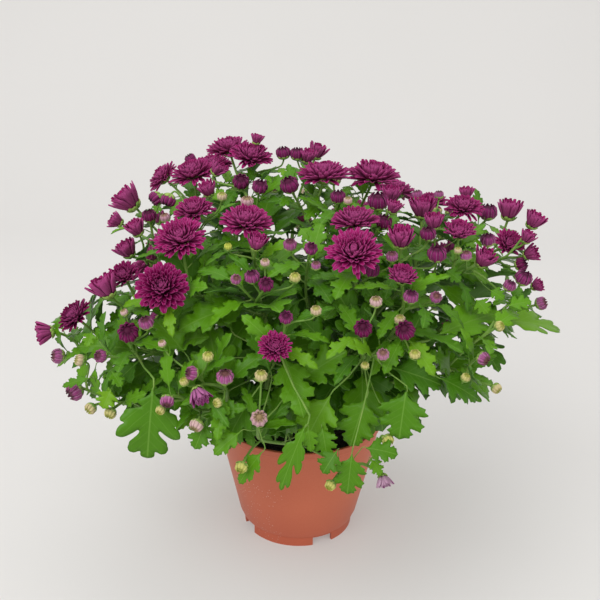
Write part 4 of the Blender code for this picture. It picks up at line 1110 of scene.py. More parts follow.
def seen_leaf(row, stems, trial, turn):
    """A leaf laid out from its base and tip as seen from the front, turned about the pot."""
    across, down, tip_across, tip_down, width, scale = row
    scale = scale - LEAF_INWARD * trial
    base = dome_point(across, down, scale)
    tip = dome_point(tip_across, tip_down, scale + TIP_OUTWARD)
    viewer = VIEW_AT.copy()
    for point in (base, tip, viewer):
        point.rotate(Matrix.Rotation(math.radians(turn), 3, "Z"))
    way = (tip - base).normalized()
    found = nearest_root(stems, base, way)
    if found is None:
        return None
    return {
        "root": found[1],
        "at": base,
        "tip": tip,
        "way": way + Vector((0, 0, LEAF_LIFT)),
        "up": (viewer - base).normalized() + Vector((0, 0, FACE_LIFT)),
        "length": min((tip - base).length, LEAF_LENGTH_MOST),
        "width": width * MM,
        "droop": LEAF_DROOP,
        "fold": LEAF_FOLD,
        "form": "plain" if turn else "lobed",
        "stem": found[2],
    }


def standing_leaf(number, spot, angle, size, stand, ahead, **shape):
    """A leaf that stands out from its stem at an angle round it."""
    point, way = spot[:2]
    sink, stalk, face = stand
    aim = (swing(*side_frame(way), angle) + way * ahead + Vector((0, 0, sink))).normalized()
    return dict(shape, root=point, at=point + aim * size * stalk, way=aim,
                up=way + Vector((0, 0, face)), length=size, stem=number)


def picture_cell(across, down):
    """The picture's cell that a place lies in."""
    return round(across / SIGHT_CELL), round(down / SIGHT_CELL)


def sight_cells(heads):
    """The picture's cells that show a front head, with that head's distance."""
    cells = {}
    for head in heads:
        if not head["seen"]:
            continue
        across, down, away = picture_place(head["at"])
        reach = VIEW_FOCAL * SIGHT_SHARE * head["width"] / away
        steps = 1 + int(reach / SIGHT_CELL)
        middle = picture_cell(across, down)
        for column, row in itertools.product(range(-steps, steps + 1), repeat=2):
            if math.hypot(column, row) * SIGHT_CELL <= reach:
                cell = (middle[0] + column, middle[1] + row)
                cells[cell] = max(cells.get(cell, 0.0), away)
    return cells


def blade_points(leaf):
    """Points spread over a leaf's blade."""
    way, up = leaf_frame(leaf)
    side = way.cross(up) * leaf["width"]
    for share in BLADE_SHARES:
        middle = leaf_spine(leaf, way, up, share)[0]
        for part in BLADE_SIDES:
            yield middle + side * part


def well_placed(leaf, cells):
    """True where a blade hangs over no rim and hides no head seen from the front."""
    for point in blade_points(leaf):
        lowest = BLADE_LOWEST
        lowest += BLADE_RISE * max(0.0, math.hypot(point.x, point.y) - POT_RIM_RADIUS)
        lowest += BLADE_FRONT_RISE * max(0.0, -point.y - POT_RIM_RADIUS)
        across, down, away = picture_place(point)
        if point.z < lowest or cells.get(picture_cell(across, down), 0.0) > away:
            return False
    return True


def grow_leaves(stems, taken, cells):
    """Give every stem its leaves; each one turns or shrinks until it is clear."""
    leaves = []
    rows = [(row, 0) for row in SEEN_LEAVES]
    for turn, start, step in UNSEEN_LEAVES:
        rows += [(row, turn) for row in SEEN_LEAVES[start::step]]
    for row, turn in rows:
        for trial in range(LEAF_TRIALS):
            leaf = seen_leaf(row, stems, trial, turn)
            if leaf and keep_leaf(leaf, leaves, taken):
                break
    rng = random.Random(SEED + 1)
    rules = (("plain", LEAF_LOAD, LEAF_SPACING, LEAF_LOWEST),
             ("upper", UPPER_LOAD, UPPER_SPACING, UPPER_LOWEST))
    for form, least_load, spacing, lowest in rules:
        for number, stem in enumerate(stems):
            angle = rng.uniform(0, 2 * math.pi)
            for spot in leaf_spots(stem, least_load, spacing, lowest):
                angle += GOLDEN_TURN
                size = LEAF_LENGTH + LEAF_GROWTH * min(spot[2], LEAF_GROWTH_LOAD)
                size *= rng.uniform(*LEAF_SIZES)
                droop = rng.uniform(*LEAF_DROOPS)
                fold = rng.uniform(*LEAF_FOLDS)
                for trial in range(LEAF_TRIALS):
                    smaller = size * (1.0 - LEAF_SHRINK * trial)
                    leaf = standing_leaf(number, spot, angle + trial * LEAF_TURN_STEP, smaller,
                                         RULE_STAND, RULE_AHEAD, width=smaller * LEAF_WIDTH,
                                         droop=droop, fold=fold, form=form)
                    if well_placed(leaf, cells) and keep_leaf(leaf, leaves, taken):
                        break
    return leaves


def ring(count, radius, height, offset=0.0):
    """Points round the Z axis; the offset is a share of the step between two."""
    points = []
    for index in range(count):
        turn = 2 * math.pi * (index + offset) / count
        points.append(Vector((radius * math.cos(turn), radius * math.sin(turn), height)))
    return points


def petal_layer(verts, faces, under, count, tip, top, offset):
    """One layer of blunt petals that stand out between two rings of notches."""
    low = len(verts)
    high = low + count
    over = high + count
    verts += ring(count, *tip, offset + 0.5 - PETAL_BLUNT)
    verts += ring(count, *tip, offset + 0.5 + PETAL_BLUNT)
    verts += ring(count, *top, offset)
    for index in range(count):
        after = (index + 1) % count
        faces += [
            [under + index, low + index, high + index],
            [under + index, high + index, under + after],
            [over + index, high + index, low + index],
            [over + index, over + after, high + index],
            [under + index, over + index, low + index],
            [under + after, high + index, over + after],
        ]
    return over


def close_top(verts, faces, low, count, height):
    """A point over a ring, and the triangles up to it."""
    for index in range(count):
        faces.append([low + index, low + (index + 1) % count, len(verts)])
    verts.append(Vector((0.0, 0.0, height)))


def open_bloom(seat):
    """A flat bloom over its seat: two layers of petals round a tufted middle."""
    count = OPEN_PETALS
    verts = ring(count, OPEN_BASE, seat)
    faces = [list(range(count))]
    over = petal_layer(verts, faces, 0, count, OPEN_LOWER_TIP, OPEN_LOWER_TOP, 0.0)
    second = len(verts)
    verts += ring(count, *OPEN_UPPER_LOW, 0.5)
    join_rings(faces, over, second, count)
    over = petal_layer(verts, faces, second, count, OPEN_UPPER_TIP, OPEN_UPPER_TOP, 0.5)
    close_top(verts, faces, over, count, OPEN_HEIGHT)
    return verts, faces


def half_bloom(seat):
    """A half-open head over its seat: a cup of upright petals."""
    count = HALF_PETALS
    verts = ring(count, HALF_FOOT, seat) + ring(count, *HALF_WAIST)
    faces = [list(range(count))]
    join_rings(faces, 0, count, count)
    over = petal_layer(verts, faces, count, count, HALF_TIP, HALF_TOP, 0.0)
    close_top(verts, faces, over, count, HALF_HEIGHT)
    return verts, faces


def bud_room(seat):
    """The room a closed bud takes up; it starts right on its seat."""
    count = HEAD_SIDES
    radius, height = BUD_ROOM
    verts = ring(count, radius, 0.0) + ring(count, radius, height)
    faces = [list(range(count)), list(range(count, 2 * count))]
    join_rings(faces, 0, count, count)
    return verts, faces


HEAD_MAKERS = {"open": open_bloom, "half": half_bloom, "bud": bud_room}


def head_matrix(head):
    """The place and turn of a head's own frame: its seat, with Z along its axis."""
    one, two = side_frame(head["axis"])
    turned = Matrix((one, head["axis"].cross(one), head["axis"])).transposed()
    return Matrix.Translation(seat_of(head)) @ turned.to_4x4()


def head_in_place(head):
    """The plain form of a head where it stands, to test what is clear of it."""
    verts, faces = HEAD_MAKERS[head["kind"]](SEAT_GAP / head["width"])
    matrix = head_matrix(head)
    return [matrix @ (vert * head["width"]) for vert in verts], faces


def place_object(name, data):
    """A new object in the scene."""
    thing = bpy.data.objects.new(name, data)
    bpy.context.scene.collection.objects.link(thing)
    return thing


def new_object(name, verts, faces):
    """A mesh object with its faces turned outwards."""
    mesh = bpy.data.meshes.new(name)
    mesh.from_pydata([tuple(vert) for vert in verts], [], faces)
    body = bmesh.new()
    body.from_mesh(mesh)
    bmesh.ops.recalc_face_normals(body, faces=body.faces)
    if body.calc_volume(signed=True) < 0.0:
        bmesh.ops.reverse_faces(body, faces=body.faces)
    body.to_mesh(mesh)
    body.free()
    return place_object(name, mesh)


def turned_body(profile, sides):
    """Spin a closed profile of (radius, height) points; radius 0 points close the ends."""
    verts = []
    rows = []
    for radius, height in profile:
        if radius <= 0.0:
            rows.append([len(verts)] * sides)
            verts.append(Vector((0, 0, height)))
            continue
        rows.append(list(range(len(verts), len(verts) + sides)))
        verts += ring(sides, radius, height)
    faces = []
    for lower, upper in zip(rows, rows[1:]):
        for index in range(sides):
            after = (index + 1) % sides
            loop = (lower[index], lower[after], upper[after], upper[index])
            faces.append(list(dict.fromkeys(loop)))
    return verts, faces


def cut(body, cutters):
    """Cut bodies out of another with one modifier on a collection, then remove them."""
    group = bpy.data.collections.new("cutters")
    bpy.context.scene.collection.children.link(group)
    for cutter in cutters:
        bpy.context.scene.collection.objects.unlink(cutter)
        group.objects.link(cutter)
    modifier = body.modifiers.new("cut", "BOOLEAN")
    modifier.operation = "DIFFERENCE"
    modifier.operand_type = "COLLECTION"
    modifier.collection = group
    modifier.solver = "EXACT"
    bpy.context.view_layer.update()
    solved = body.evaluated_get(bpy.context.evaluated_depsgraph_get())
    mesh = bpy.data.meshes.new_from_object(solved)
    mesh.name = body.name
    body.modifiers.clear()
    body.data = mesh
    for cutter in cutters:
        bpy.data.objects.remove(cutter)
    bpy.data.collections.remove(group)
    flatten(mesh)


def flatten(mesh):
    """Remove the edges between faces that lie in one plane."""
    body = bmesh.new()
    body.from_mesh(mesh)
    bmesh.ops.dissolve_limit(body, angle_limit=FLAT_ANGLE, verts=body.verts, edges=body.edges)
    bmesh.ops.triangulate(body, faces=body.faces)
    body.to_mesh(mesh)
    body.free()


def notch_cutter(turn):
    """A box that cuts one notch through the foot ring."""
    half = FOOT_NOTCH_WIDTH * 0.5
    corners = itertools.product((FOOT_INNER - CUT_OVERRUN, FOOT_RADIUS + CUT_OVERRUN),
                                (-half, half), (-CUT_OVERRUN, FOOT_NOTCH_HEIGHT))
    verts = [Matrix.Rotation(turn, 3, "Z") @ Vector(corner) for corner in corners]
    faces = [[0, 1, 3, 2], [4, 5, 7, 6], [0, 1, 5, 4], [2, 3, 7, 6], [0, 2, 6, 4], [1, 3, 7, 5]]
    return new_object("notch", verts, faces)


def soil_radius(height):
    """The radius of the soil at a height: the pot's inside less the seat gap."""
    low = (POT_TURN_AT, POT_TURN_RADIUS)
    high = (POT_MID_AT, POT_MID_RADIUS)
    if height > POT_MID_AT:
        low = high
        high = (POT_HEIGHT - POT_LIP_HEIGHT - 0.5 * POT_BEVEL, POT_RIM_RADIUS - POT_LIP_OUT)
    share = (height - low[0]) / (high[0] - low[0])
    return low[1] + (high[1] - low[1]) * share - POT_WALL - SEAT_GAP


class Form:
    """A growing mesh: vertices and faces, each vertex with its tone and its place."""

    def __init__(self):
        self.verts = []
        self.faces = []
        self.tones = []
        self.places = []
        self.slots = []
        self.count = 0

    def add(self, verts, faces, tone, places, slot):
        """Add vertices and faces; tone is one number for them all or one for each."""
        verts = np.asarray(verts, dtype=float)
        self.verts.append(verts)
        self.tones.append(np.zeros(len(verts)) + tone)
        self.places.append(np.asarray(places, dtype=float))
        self.faces += [[corner + self.count for corner in face] for face in faces]
        self.slots += [slot] * len(faces)
        self.count += len(verts)

    def make(self, name, materials):
        """The mesh object of everything added so far."""
        mesh = bpy.data.meshes.new(name)
        mesh.from_pydata(np.concatenate(self.verts).tolist(), [], self.faces)
        for material in materials:
            mesh.materials.append(material)
        mesh.polygons.foreach_set("material_index", self.slots)
        tone = mesh.attributes.new("tone", "FLOAT", "POINT")
        tone.data.foreach_set("value", np.concatenate(self.tones))
        place = mesh.attributes.new("place", "FLOAT_VECTOR", "POINT")
        place.data.foreach_set("vector", np.concatenate(self.places).ravel())
        mesh.validate()
        mesh.shade_smooth()
        return place_object(name, mesh)


def grid_faces(along, across):
    """Faces of a closed thin grid: its upper side, its lower side, then its rim."""
    row = across + 1
    lower = (along + 1) * row
    faces = []
    for s in range(along):
        for t in range(across):
            a = s * row + t
            faces.append([a, a + row, a + row + 1, a + 1])
            faces.append([lower + a, lower + a + 1, lower + a + row + 1, lower + a + row])
    edge = [s * row for s in range(along)]
    edge += [along * row + t for t in range(across)]
    edge += [s * row + across for s in range(along, 0, -1)]
    edge += [t for t in range(across, 0, -1)]
    for here, after in zip(edge, edge[1:] + edge[:1]):
        faces.append([after, here, lower + here, lower + after])
    return faces


def add_petals(form, matrix, petals, tone, slot):
    """Many petals at once; every petal is (turn, radius, height, pitch, curl, length, width,
    cup, twist), with sizes in metres and angles in radians."""
    turn, radius, height, pitch, curl, length, width, cup, twist = np.array(petals).T
    count = len(turn)
    share = np.linspace(0.0, 1.0, len(PETAL_PROFILE))
    angle = pitch[:, None] + curl[:, None] * share
    middle = (angle[:, 1:] + angle[:, :-1]) / 2
    step = (length / (len(share) - 1))[:, None]
    start = np.zeros((count, 1))
    out = radius[:, None] + np.hstack([start, np.cumsum(np.cos(middle) * step, axis=1)])
    rise = height[:, None] + np.hstack([start, np.cumsum(np.sin(middle) * step, axis=1)])
    zero = np.zeros(count)
    ahead = np.stack([np.cos(turn), np.sin(turn), zero], axis=1)[:, None, :]
    side = np.stack([-np.sin(turn), np.cos(turn), zero], axis=1)[:, None, :]
    up = np.array([0.0, 0.0, 1.0])
    spine = ahead * out[..., None] + up * rise[..., None]
    normal = up * np.cos(angle)[..., None] - ahead * np.sin(angle)[..., None]
    lean = (twist[:, None] * share)[..., None]
    across = side * np.cos(lean) + normal * np.sin(lean)
    half = 0.5 * width[:, None] * np.array(PETAL_PROFILE)
    sheets = []
    for t in (-1.0, 0.0, 1.0):
        bowl = (cup[:, None] * half * t * t)[..., None]
        sheets.append(spine + across * (half * t)[..., None] + normal * bowl)
    grid = np.stack(sheets, axis=2)
    thick = normal[:, :, None, :] * PETAL_THICKNESS * 0.5
    both = np.stack([grid + thick, grid - thick], axis=1)
    verts = both.reshape(-1, 3) @ np.array(matrix.to_3x3()).T + np.array(matrix.translation)
    shape = (count, 2, len(share), 3)
    places = np.zeros(shape + (3,))
    places[..., 0] = share[None, None, :, None]
    places[..., 1] = np.array([0.0, 0.5, 1.0])
    places[..., 2] = np.array([0.0, 1.0])[None, :, None, None]
    one = grid_faces(len(share) - 1, 2)
    size = 2 * len(share) * 3
    faces = [[corner + index * size for corner in face] for index in range(count) for face in one]
    form.add(verts, faces, np.repeat(tone, size), places.reshape(-1, 3), slot)


def add_ball(form, matrix, radius, height, squash, tone, slot, along=0.1):
    """A small closed ball that fills the heart of a head."""
    sides = BALL_SIDES
    verts = [(0.0, 0.0, height - radius * squash)]
    for ring_number in range(1, BALL_RINGS):
        polar = math.pi * ring_number / BALL_RINGS
        flat = radius * math.sin(polar)
        rise = height - radius * squash * math.cos(polar)
        for index in range(sides):
            turn = 2 * math.pi * index / sides
            verts.append((flat * math.cos(turn), flat * math.sin(turn), rise))
    verts.append((0.0, 0.0, height + radius * squash))
    faces = []
    top = 1 + (BALL_RINGS - 2) * sides
    for index in range(sides):
        after = (index + 1) % sides
        faces.append([0, 1 + after, 1 + index])
        for low in range(1, top, sides):
            high = low + sides
            faces.append([low + index, low + after, high + after, high + index])
        faces.append([top + index, top + after, len(verts) - 1])
    placed = [matrix @ Vector(vert) for vert in verts]
    form.add(placed, faces, tone, [(along, 0.5, 0.0)] * len(verts), slot)


def blend(low, high, share):
    """The number at a share of the way from one number to another."""
    return low + (high - low) * share


# The recipes of petals give every petal's turn, radius, height, pitch, curl, length,
# width, cup and twist, from the outer ones to the heart. Their sizes are shares of the
# head's width, and their angles are in degrees.


def bloom_petals(width, cupped, broader, rng):
    """The petals of an open bloom, from its flat outer ones to its upright heart."""
    for index in range(BLOOM_PETALS):
        share = (index / (BLOOM_PETALS - 1)) ** 1.2
        broad = 1.0 + broader * max(0.0, 1.0 - 4.0 * share)
        opened = max(0.0, share - 0.05) / 0.95
        pitch = blend(blend(-3.0, 44.0, cupped), 84.0, opened ** 0.85) + rng.uniform(-8, 8)
        curl = blend(6.0, 62.0, opened ** 0.8) + rng.uniform(-16, 16)
        yield (
            index * GOLDEN_TURN + rng.uniform(-0.12, 0.12),
            width * blend(0.15, 0.012, share ** 1.1),
            width * blend(0.10, 0.165, share),
            math.radians(pitch),
            math.radians(curl),
            width * blend(0.385, 0.195, share ** 0.9) * rng.uniform(0.90, 1.05),
            width * blend(0.098, 0.048, share) * rng.uniform(0.88, 1.12) * broad,
            rng.uniform(0.4, 0.8),
            math.radians(rng.uniform(-12, 12)),
        )


def half_petals(width, rng):
    """The petals of a half-open head: a funnel with a tight middle."""
    for index in range(HALF_OPEN_PETALS):
        share = (index / (HALF_OPEN_PETALS - 1)) ** 1.3
        yield (
            index * GOLDEN_TURN + rng.uniform(-0.1, 0.1),
            width * blend(0.17, 0.03, share),
            width * blend(0.06, 0.16, share),
            math.radians(blend(46.0, 84.0, share) + rng.uniform(-4, 4)),
            math.radians(blend(28.0, 16.0, share) + rng.uniform(-8, 8)),
            width * blend(0.80, 0.52, share) * rng.uniform(0.94, 1.05),
            width * blend(0.21, 0.10, share),
            rng.uniform(0.4, 0.7),
            math.radians(rng.uniform(-8, 8)),
        )


def bud_petals(width, rng):
    """The petals of a closed bud, bent over its top."""
    for index in range(BUD_PETALS):
        inner = index % 2
        yield (
            2 * math.pi * index / BUD_PETALS + rng.uniform(-0.05, 0.05),
            width * (0.10 - 0.02 * inner),
            width * 0.03,
            math.radians(-2.0),
            math.radians(158.0 + 8 * inner),
            width * (1.14 - 0.06 * inner),
            width * 0.215,
            0.62,
            math.radians(6.0),
        )


def calyx_petals(width, radius, rise, rng):
    """The green scales that clasp the foot of a head."""
    for index in range(CALYX_SCALES):
        inner = index % 2
        yield (
            2 * math.pi * index / CALYX_SCALES + rng.uniform(-0.1, 0.1),
            CALYX_RADIUS,
            -CALYX_DEPTH,
            math.radians(2.0 - 6 * inner),
            math.radians(76.0 + rng.uniform(-6, 6)),
            width * (radius + rise) * rng.uniform(0.92, 1.06),
            width * radius * 0.84,
            0.30,
            0.0,
        )


def petal_tones(count, rng, low=0.0, high=1.0):
    """A seeded tone for each petal."""
    return [rng.uniform(low, high) for index in range(count)]


def outer_tones(count, rng):
    """Tones that fall from the outer petals to the heart: partly their own colour, partly painted
    shade.
    """
    return [blend(1.0, 0.1, index / count) + rng.uniform(-0.15, 0.15) for index in range(count)]


def add_head(form, head, slot, rng, low=0.0, high=1.0):
    """A fine head on its seat, with the slot of its petals' material."""
    matrix = head_matrix(head)
    width = head["width"]
    # The heart ball is painted dark as shade deep in the head: a low tone, or a bud's heart colour.
    heart = HEART_TONE
    along = 0.1
    if head["kind"] == "open":
        petals = list(bloom_petals(width, head["cupped"], head["broader"], rng))
        tones = np.array(outer_tones(len(petals), rng)) + head["shade"]
    elif head["kind"] == "half":
        petals = list(half_petals(width, rng))
        tones = petal_tones(len(petals), rng, low, high)
    else:
        petals = list(bud_petals(width, rng))
        tones = [head["age"]] * len(petals)
        heart = head["age"]
        along = 1.0
    add_petals(form, matrix, petals, tones, slot)
    radius, height, squash = HEARTS[head["kind"]]
    add_ball(form, matrix, width * radius, width * height, squash, heart, slot, along)


def add_calyx(form, head, rng):
    """The scales under a head, and the small green knob that they grow from."""
    radius, rise = CALYX_SHARE[head["kind"]]
    if head["kind"] == "bud":
        rise -= CALYX_CLOSING * head["age"]
    matrix = head_matrix(head)
    width = head["width"]
    scales = list(calyx_petals(width, radius, rise, rng))
    add_petals(form, matrix, scales, petal_tones(len(scales), rng, *CALYX_TONES), STALK_SLOT)
    wide, high, squash = KNOB_SHAPE
    add_ball(form, matrix, width * radius * wide, width * radius * high, squash, KNOB_TONE,
             STALK_SLOT)


def smooth_path(points, radii, parts):
    """More points along a curve through the given ones, with their radii."""
    path = []
    sizes = []
    last = len(points) - 1
    for index in range(last):
        before = points[max(index - 1, 0)]
        low = points[index]
        high = points[index + 1]
        after = points[min(index + 2, last)]
        for part in range(parts):
            t = part / parts
            bend = (low * 2 + (high - before) * t
                    + (before * 2 - low * 5 + high * 4 - after) * t * t
                    + (low * 3 - before - high * 3 + after) * t ** 3)
            path.append(bend * 0.5)
            sizes.append(radii[index] + (radii[index + 1] - radii[index]) * t)
    return path + [points[last]], sizes + [radii[last]]


def add_stalk(form, points, radii, tone=STALK_TONE, sides=STALK_SIDES, parts=STALK_PARTS):
    """A round stalk on a smooth curve through the points."""
    path, sizes = smooth_path(points, radii, parts)
    verts, faces = tube(path, sizes, sides)
    faces[-2] = faces[-2][::-1]
    places = [(step / (len(path) - 1), index / sides, 0.0)
              for step in range(len(path)) for index in range(sides)]
    form.add(verts, faces, tone, places, STALK_SLOT)


def leaf_outline(half, parts):
    """A closed leaf outline: a curve through the half outline's points and its mirror."""
    points = [Vector((x, y, 0.0)) for x, y in half]
    path = smooth_path(points, [0.0] * len(points), parts)[0]
    side = [Vector((point.x, max(point.y, 0.0))) for point in path]
    return side + [Vector((point.x, -point.y)) for point in reversed(side[:-1])]


def leaf_template(half, parts, rows, columns):
    """A flat leaf of many triangles: its points and its triangles."""
    outline = leaf_outline(half, parts)
    points = [Vector((point.x, point.y * TEMPLATE_ASPECT)) for point in outline]
    count = len(points)
    edges = [(index, (index + 1) % count) for index in range(count)]
    inner = []
    for row, column in itertools.product(range(1, rows), range(-columns, columns + 1)):
        spot = Vector((row / rows, column * TEMPLATE_ASPECT / columns))
        if inside_outline(spot, points):
            if min((spot - point).length for point in points) > TEMPLATE_ROOM:
                inner.append(spot)
    spots, found, tris = delaunay_2d_cdt(points + inner, edges, [], 1, TEMPLATE_MERGE)[:3]
    turned = [(a, b, c) if (spots[b] - spots[a]).cross(spots[c] - spots[a]) > 0.0 else (a, c, b)
              for a, b, c in tris]
    return np.array([(spot.x, spot.y / TEMPLATE_ASPECT) for spot in spots]), turned


def inside_outline(spot, outline):
    """True where a spot lies inside a closed outline."""
    inside = False
    for low, high in zip(outline, outline[1:] + outline[:1]):
        if (low.y > spot.y) != (high.y > spot.y):
            cross = low.x + (spot.y - low.y) * (high.x - low.x) / (high.y - low.y)
            inside = inside != (spot.x < cross)
    return inside


def add_blade(form, leaf, template, tone, rng):
    """A leaf blade: the template bent, folded and waved into the leaf's place."""
    flat, tris = template
    way, up = leaf_frame(leaf)
    side = np.array(up.cross(way))
    way = np.array(way)
    up = np.array(up)
    along = flat[:, 0]
    out = np.abs(flat[:, 1])
    across = flat[:, 1] * leaf["width"] * 0.5
    droop = max(leaf["droop"], LEAST_DROOP)
    angle = (droop * along)[:, None]
    reach = leaf["length"] / droop
    spine = np.array(leaf["at"]) + way * np.sin(angle) * reach - up * (1 - np.cos(angle)) * reach
    normal = way * np.sin(angle) + up * np.cos(angle)
    phase = rng.uniform(0, 2 * math.pi)
    wave = np.sin(along * WAVE_RATES[0] + phase) * out ** 1.5
    wave += SECOND_WAVE * np.sin(along * WAVE_RATES[1] - phase) * flat[:, 1]
    vein = np.abs(np.sin((along - VEIN_SLANT * out) * VEIN_RATE)) ** 0.5
    lift = np.abs(across) * leaf["fold"] + wave * leaf["width"] * LEAF_WAVE
    lift = lift + vein * leaf["width"] * VEIN_LIFT * np.minimum(1.0, 4 * out)
    sheet = spine + side * across[:, None] + normal * lift[:, None]
    half = normal * FINE_LEAF_THICKNESS * 0.5
    count = len(flat)
    faces = two_sided(tris, count)
    faces += [[end, start, count + start, count + end] for start, end in rim_edges(tris)]
    places = np.zeros((2 * count, 3))
    places[:, :2] = np.tile(flat, (2, 1))
    places[count:, 2] = 1.0
    form.add(np.concatenate([sheet + half, sheet - half]), faces, tone, places, LEAF_SLOT)


def add_leaf(form, leaf, template, tone, rng):
    """A leaf blade with its round stalk, which sinks into its stem."""
    add_blade(form, leaf, template, tone, rng)
    way = leaf["way"].normalized()
    root = leaf["root"]
    base = leaf["at"] + way * leaf["length"] * LEAF_STALK_INTO
    neck = leaf["at"]
    if (neck - root).length > LONG_STALK * leaf["length"]:
        neck = neck - way * leaf["length"] * STALK_NECK
    middle = (root + neck) * 0.5 - Vector((0, 0, LEAF_STALK_SAG * (base - root).length))
    thick = LEAF_STALK_RADIUS * min(LEAF_STALK_MOST, leaf["length"] / LEAF_STALK_USUAL)
    add_stalk(form, [root, middle, neck, base], [thick * STALK_FOOT, thick, thick, thick * 0.5],
              LEAF_STALK_TONE, LEAF_STALK_SIDES, LEAF_STALK_PARTS)


def nearest_point(stems, spot, least_drop):
    """The handiest place on any stem for a stalk to a spot: near, and further in."""
    nearest = None
    inward = (CROWN - spot).normalized()
    for number, low, high in stem_spans(stems):
        for part in SPAN_SHARES:
            point = low.lerp(high, part)
            gap = point - spot
            drop = gap.dot(inward)
            if drop < least_drop:
                continue
            cost = gap.length * (SIDE_COST - DROP_GAIN * drop / gap.length)
            if nearest is None or cost < nearest[0]:
                nearest = (cost, point, number, (high - low).normalized())
    return nearest


def extra_heads(stems, taken):
    """The smaller heads, pushed along their sight lines until they are clear."""
    heads = []
    for across, down, width, tilt, turn, age in EXTRA_HEADS:
        kind = "half" if age == HALF_OPEN_AGE else "bud"
        for step in EXTRA_STEPS:
            head = seen_head(kind, (across, down, width, tilt, turn, step))
            if not clashes(head_in_place(head), None, taken):
                break
        head["age"] = age
        heads.append(tied_head(head, stems, taken))
    return heads


def tied_head(head, stems, taken):
    """The head with the place on a stem that its stalk grows from."""
    found = nearest_point(stems, seat_of(head), DROP_SHARE * head["width"] + DROP_LEAST)
    head["root"], head["stem"], head["root_way"] = found[1:]
    taken.append((None, surface(head_in_place(head))))
    return head


def rear_extra_heads(stems, others, taken):
    """Smaller heads on the far side, kept where they are clear of everything."""
    rng = random.Random(SEED + 6)
    heads = []
    for kind, count, widths, lifts in REAR_EXTRAS:
        for index in range(count):
            head = rear_head(kind, widths, lifts, REAR_EXTRA_RISES, REAR_EXTRA_TRIALS,
                             others + heads, rng, held=True)
            head["age"] = rng.uniform(*REAR_EXTRA_AGES)
            if not clashes(head_in_place(head), None, taken):
                heads.append(tied_head(head, stems, taken))
    return heads


def keep_blade(leaf, leaves, taken):
    """Keep a leaf where its blade, without the stalk, is clear of everything."""
    blade = leaf_plate(leaf, stalked=False)
    if clashes(blade, None, taken):
        return False
    leaves.append(leaf)
    taken.append((leaf["stem"], surface(blade)))
    return True


def extra_leaf(row, stems, trial):
    """A seen leaf whose tip is moved along its sight line, so that it isn't drawn out."""
    leaf = seen_leaf(row, stems, trial, 0)
    if leaf is None:
        return None
    base = leaf["at"]
    sight = (leaf["tip"] - VIEW_AT).normalized()
    tip = (VIEW_AT + sight * (base - VIEW_AT).dot(sight)).lerp(leaf["tip"], DEPTH_KEPT)
    leaf["way"] = (tip - base).normalized() + Vector((0, 0, LEAF_LIFT))
    leaf["length"] = (tip - base).length
    leaf["root"], leaf["stem"] = nearest_point(stems, base, ANY_DROP)[1:3]
    return leaf


def extra_leaves(stems, taken):
    """The leaves that the solids leave out, moved inwards until they are clear."""
    leaves = []
    for row in EXTRA_LEAVES:
        for trial in range(LEAF_TRIALS):
            leaf = extra_leaf(row, stems, trial)
            if leaf and keep_blade(leaf, leaves, taken):
                break
    return leaves


def in_outline(leaf, outline):
    """True where a blade shows inside the plant's outline from the front."""
    return all(inside_outline(Vector(picture_place(point)[:2]), outline)
               for point in blade_points(leaf))


def grow_fillers(stems, taken, cells, rng):
    """Leaves along every stem, each kept where it runs into no head, stem or leaf."""
    leaves = []
    outline = [Vector(point) for point in PLANT_OUTLINE]
    for number, stem in enumerate(stems):
        angle = rng.uniform(0, 2 * math.pi)
        for path, load in stem["paths"]:
            spacing, (shortest, longest), widths = FILLERS if load >= FILLER_LOAD else BRACTS
            total = path_length(path)
            last_way = Vector((0, 0, 0))
            for index in range(int(total / spacing)):
                spot = path_spot(path, (index + 0.5) * spacing / total)
                if spot[0].z < SOIL_TOP + FILLER_HEIGHT:
                    continue
                angle += GOLDEN_TURN
                for trial in range(FILLER_TRIALS):
                    size = blend(longest, shortest, trial / (FILLER_TRIALS - 1))
                    leaf = standing_leaf(number, spot, angle + trial * LEAF_TURN_STEP, size,
                                         FILLER_STAND, rng.uniform(*FILLER_AHEAD),
                                         width=size * rng.uniform(*widths),
                                         droop=rng.uniform(*FILLER_DROOPS),
                                         fold=rng.uniform(*LEAF_FOLDS), form="plain")
                    if leaf["way"].dot(last_way) > LIKE_WAY:
                        continue
                    if not well_placed(leaf, cells) or not in_outline(leaf, outline):
                        continue
                    if keep_blade(leaf, leaves, taken):
                        last_way = leaf["way"]
                        break
    return leaves


def add_limb(form, path, radii, head):
    """A fine limb, with its end sunk into its head."""
    end = seat_of(head) + head["axis"] * head["width"] * STALK_INTO_HEAD
    add_stalk(form, path[:-1] + [end], radii)


def leaf_tone(leaf, rng):
    """Painted shade: leaves are darker inside the plant and lighter towards its outside."""
    level = min(dome_level(leaf["at"]) ** 0.5, LEAF_TONE_REACH)
    tone = LEAF_TONE + LEAF_TONE_RISE * level + rng.uniform(*LEAF_TONE_SPREAD) + leaf["shade"]
    return max(0.0, min(1.0, tone))


def add_extra(form, head, rng):
    """A smaller head with its own thin stalk from the nearest stem."""
    seat = seat_of(head)
    root = head["root"]
    leave = (head["root_way"] * THIN_STALK_LEAN + (seat - root).normalized()).normalized()
    end = seat + head["axis"] * head["width"] * STALK_INTO_HEAD
    path = bent_path(root, leave, end, head["axis"], THIN_STALK_STEPS)
    thick = THIN_STALK_RADIUS + head["width"] * THIN_STALK_GROWTH
    radii = [thick * STALK_FOOT] + [thick] * THIN_STALK_STEPS
    add_stalk(form, path, radii, sides=THIN_STALK_SIDES)
    add_head(form, head, PETAL_SLOT if head["kind"] == "half" else BUD_SLOT, rng, *EXTRA_TONES)
    add_calyx(form, head, rng)


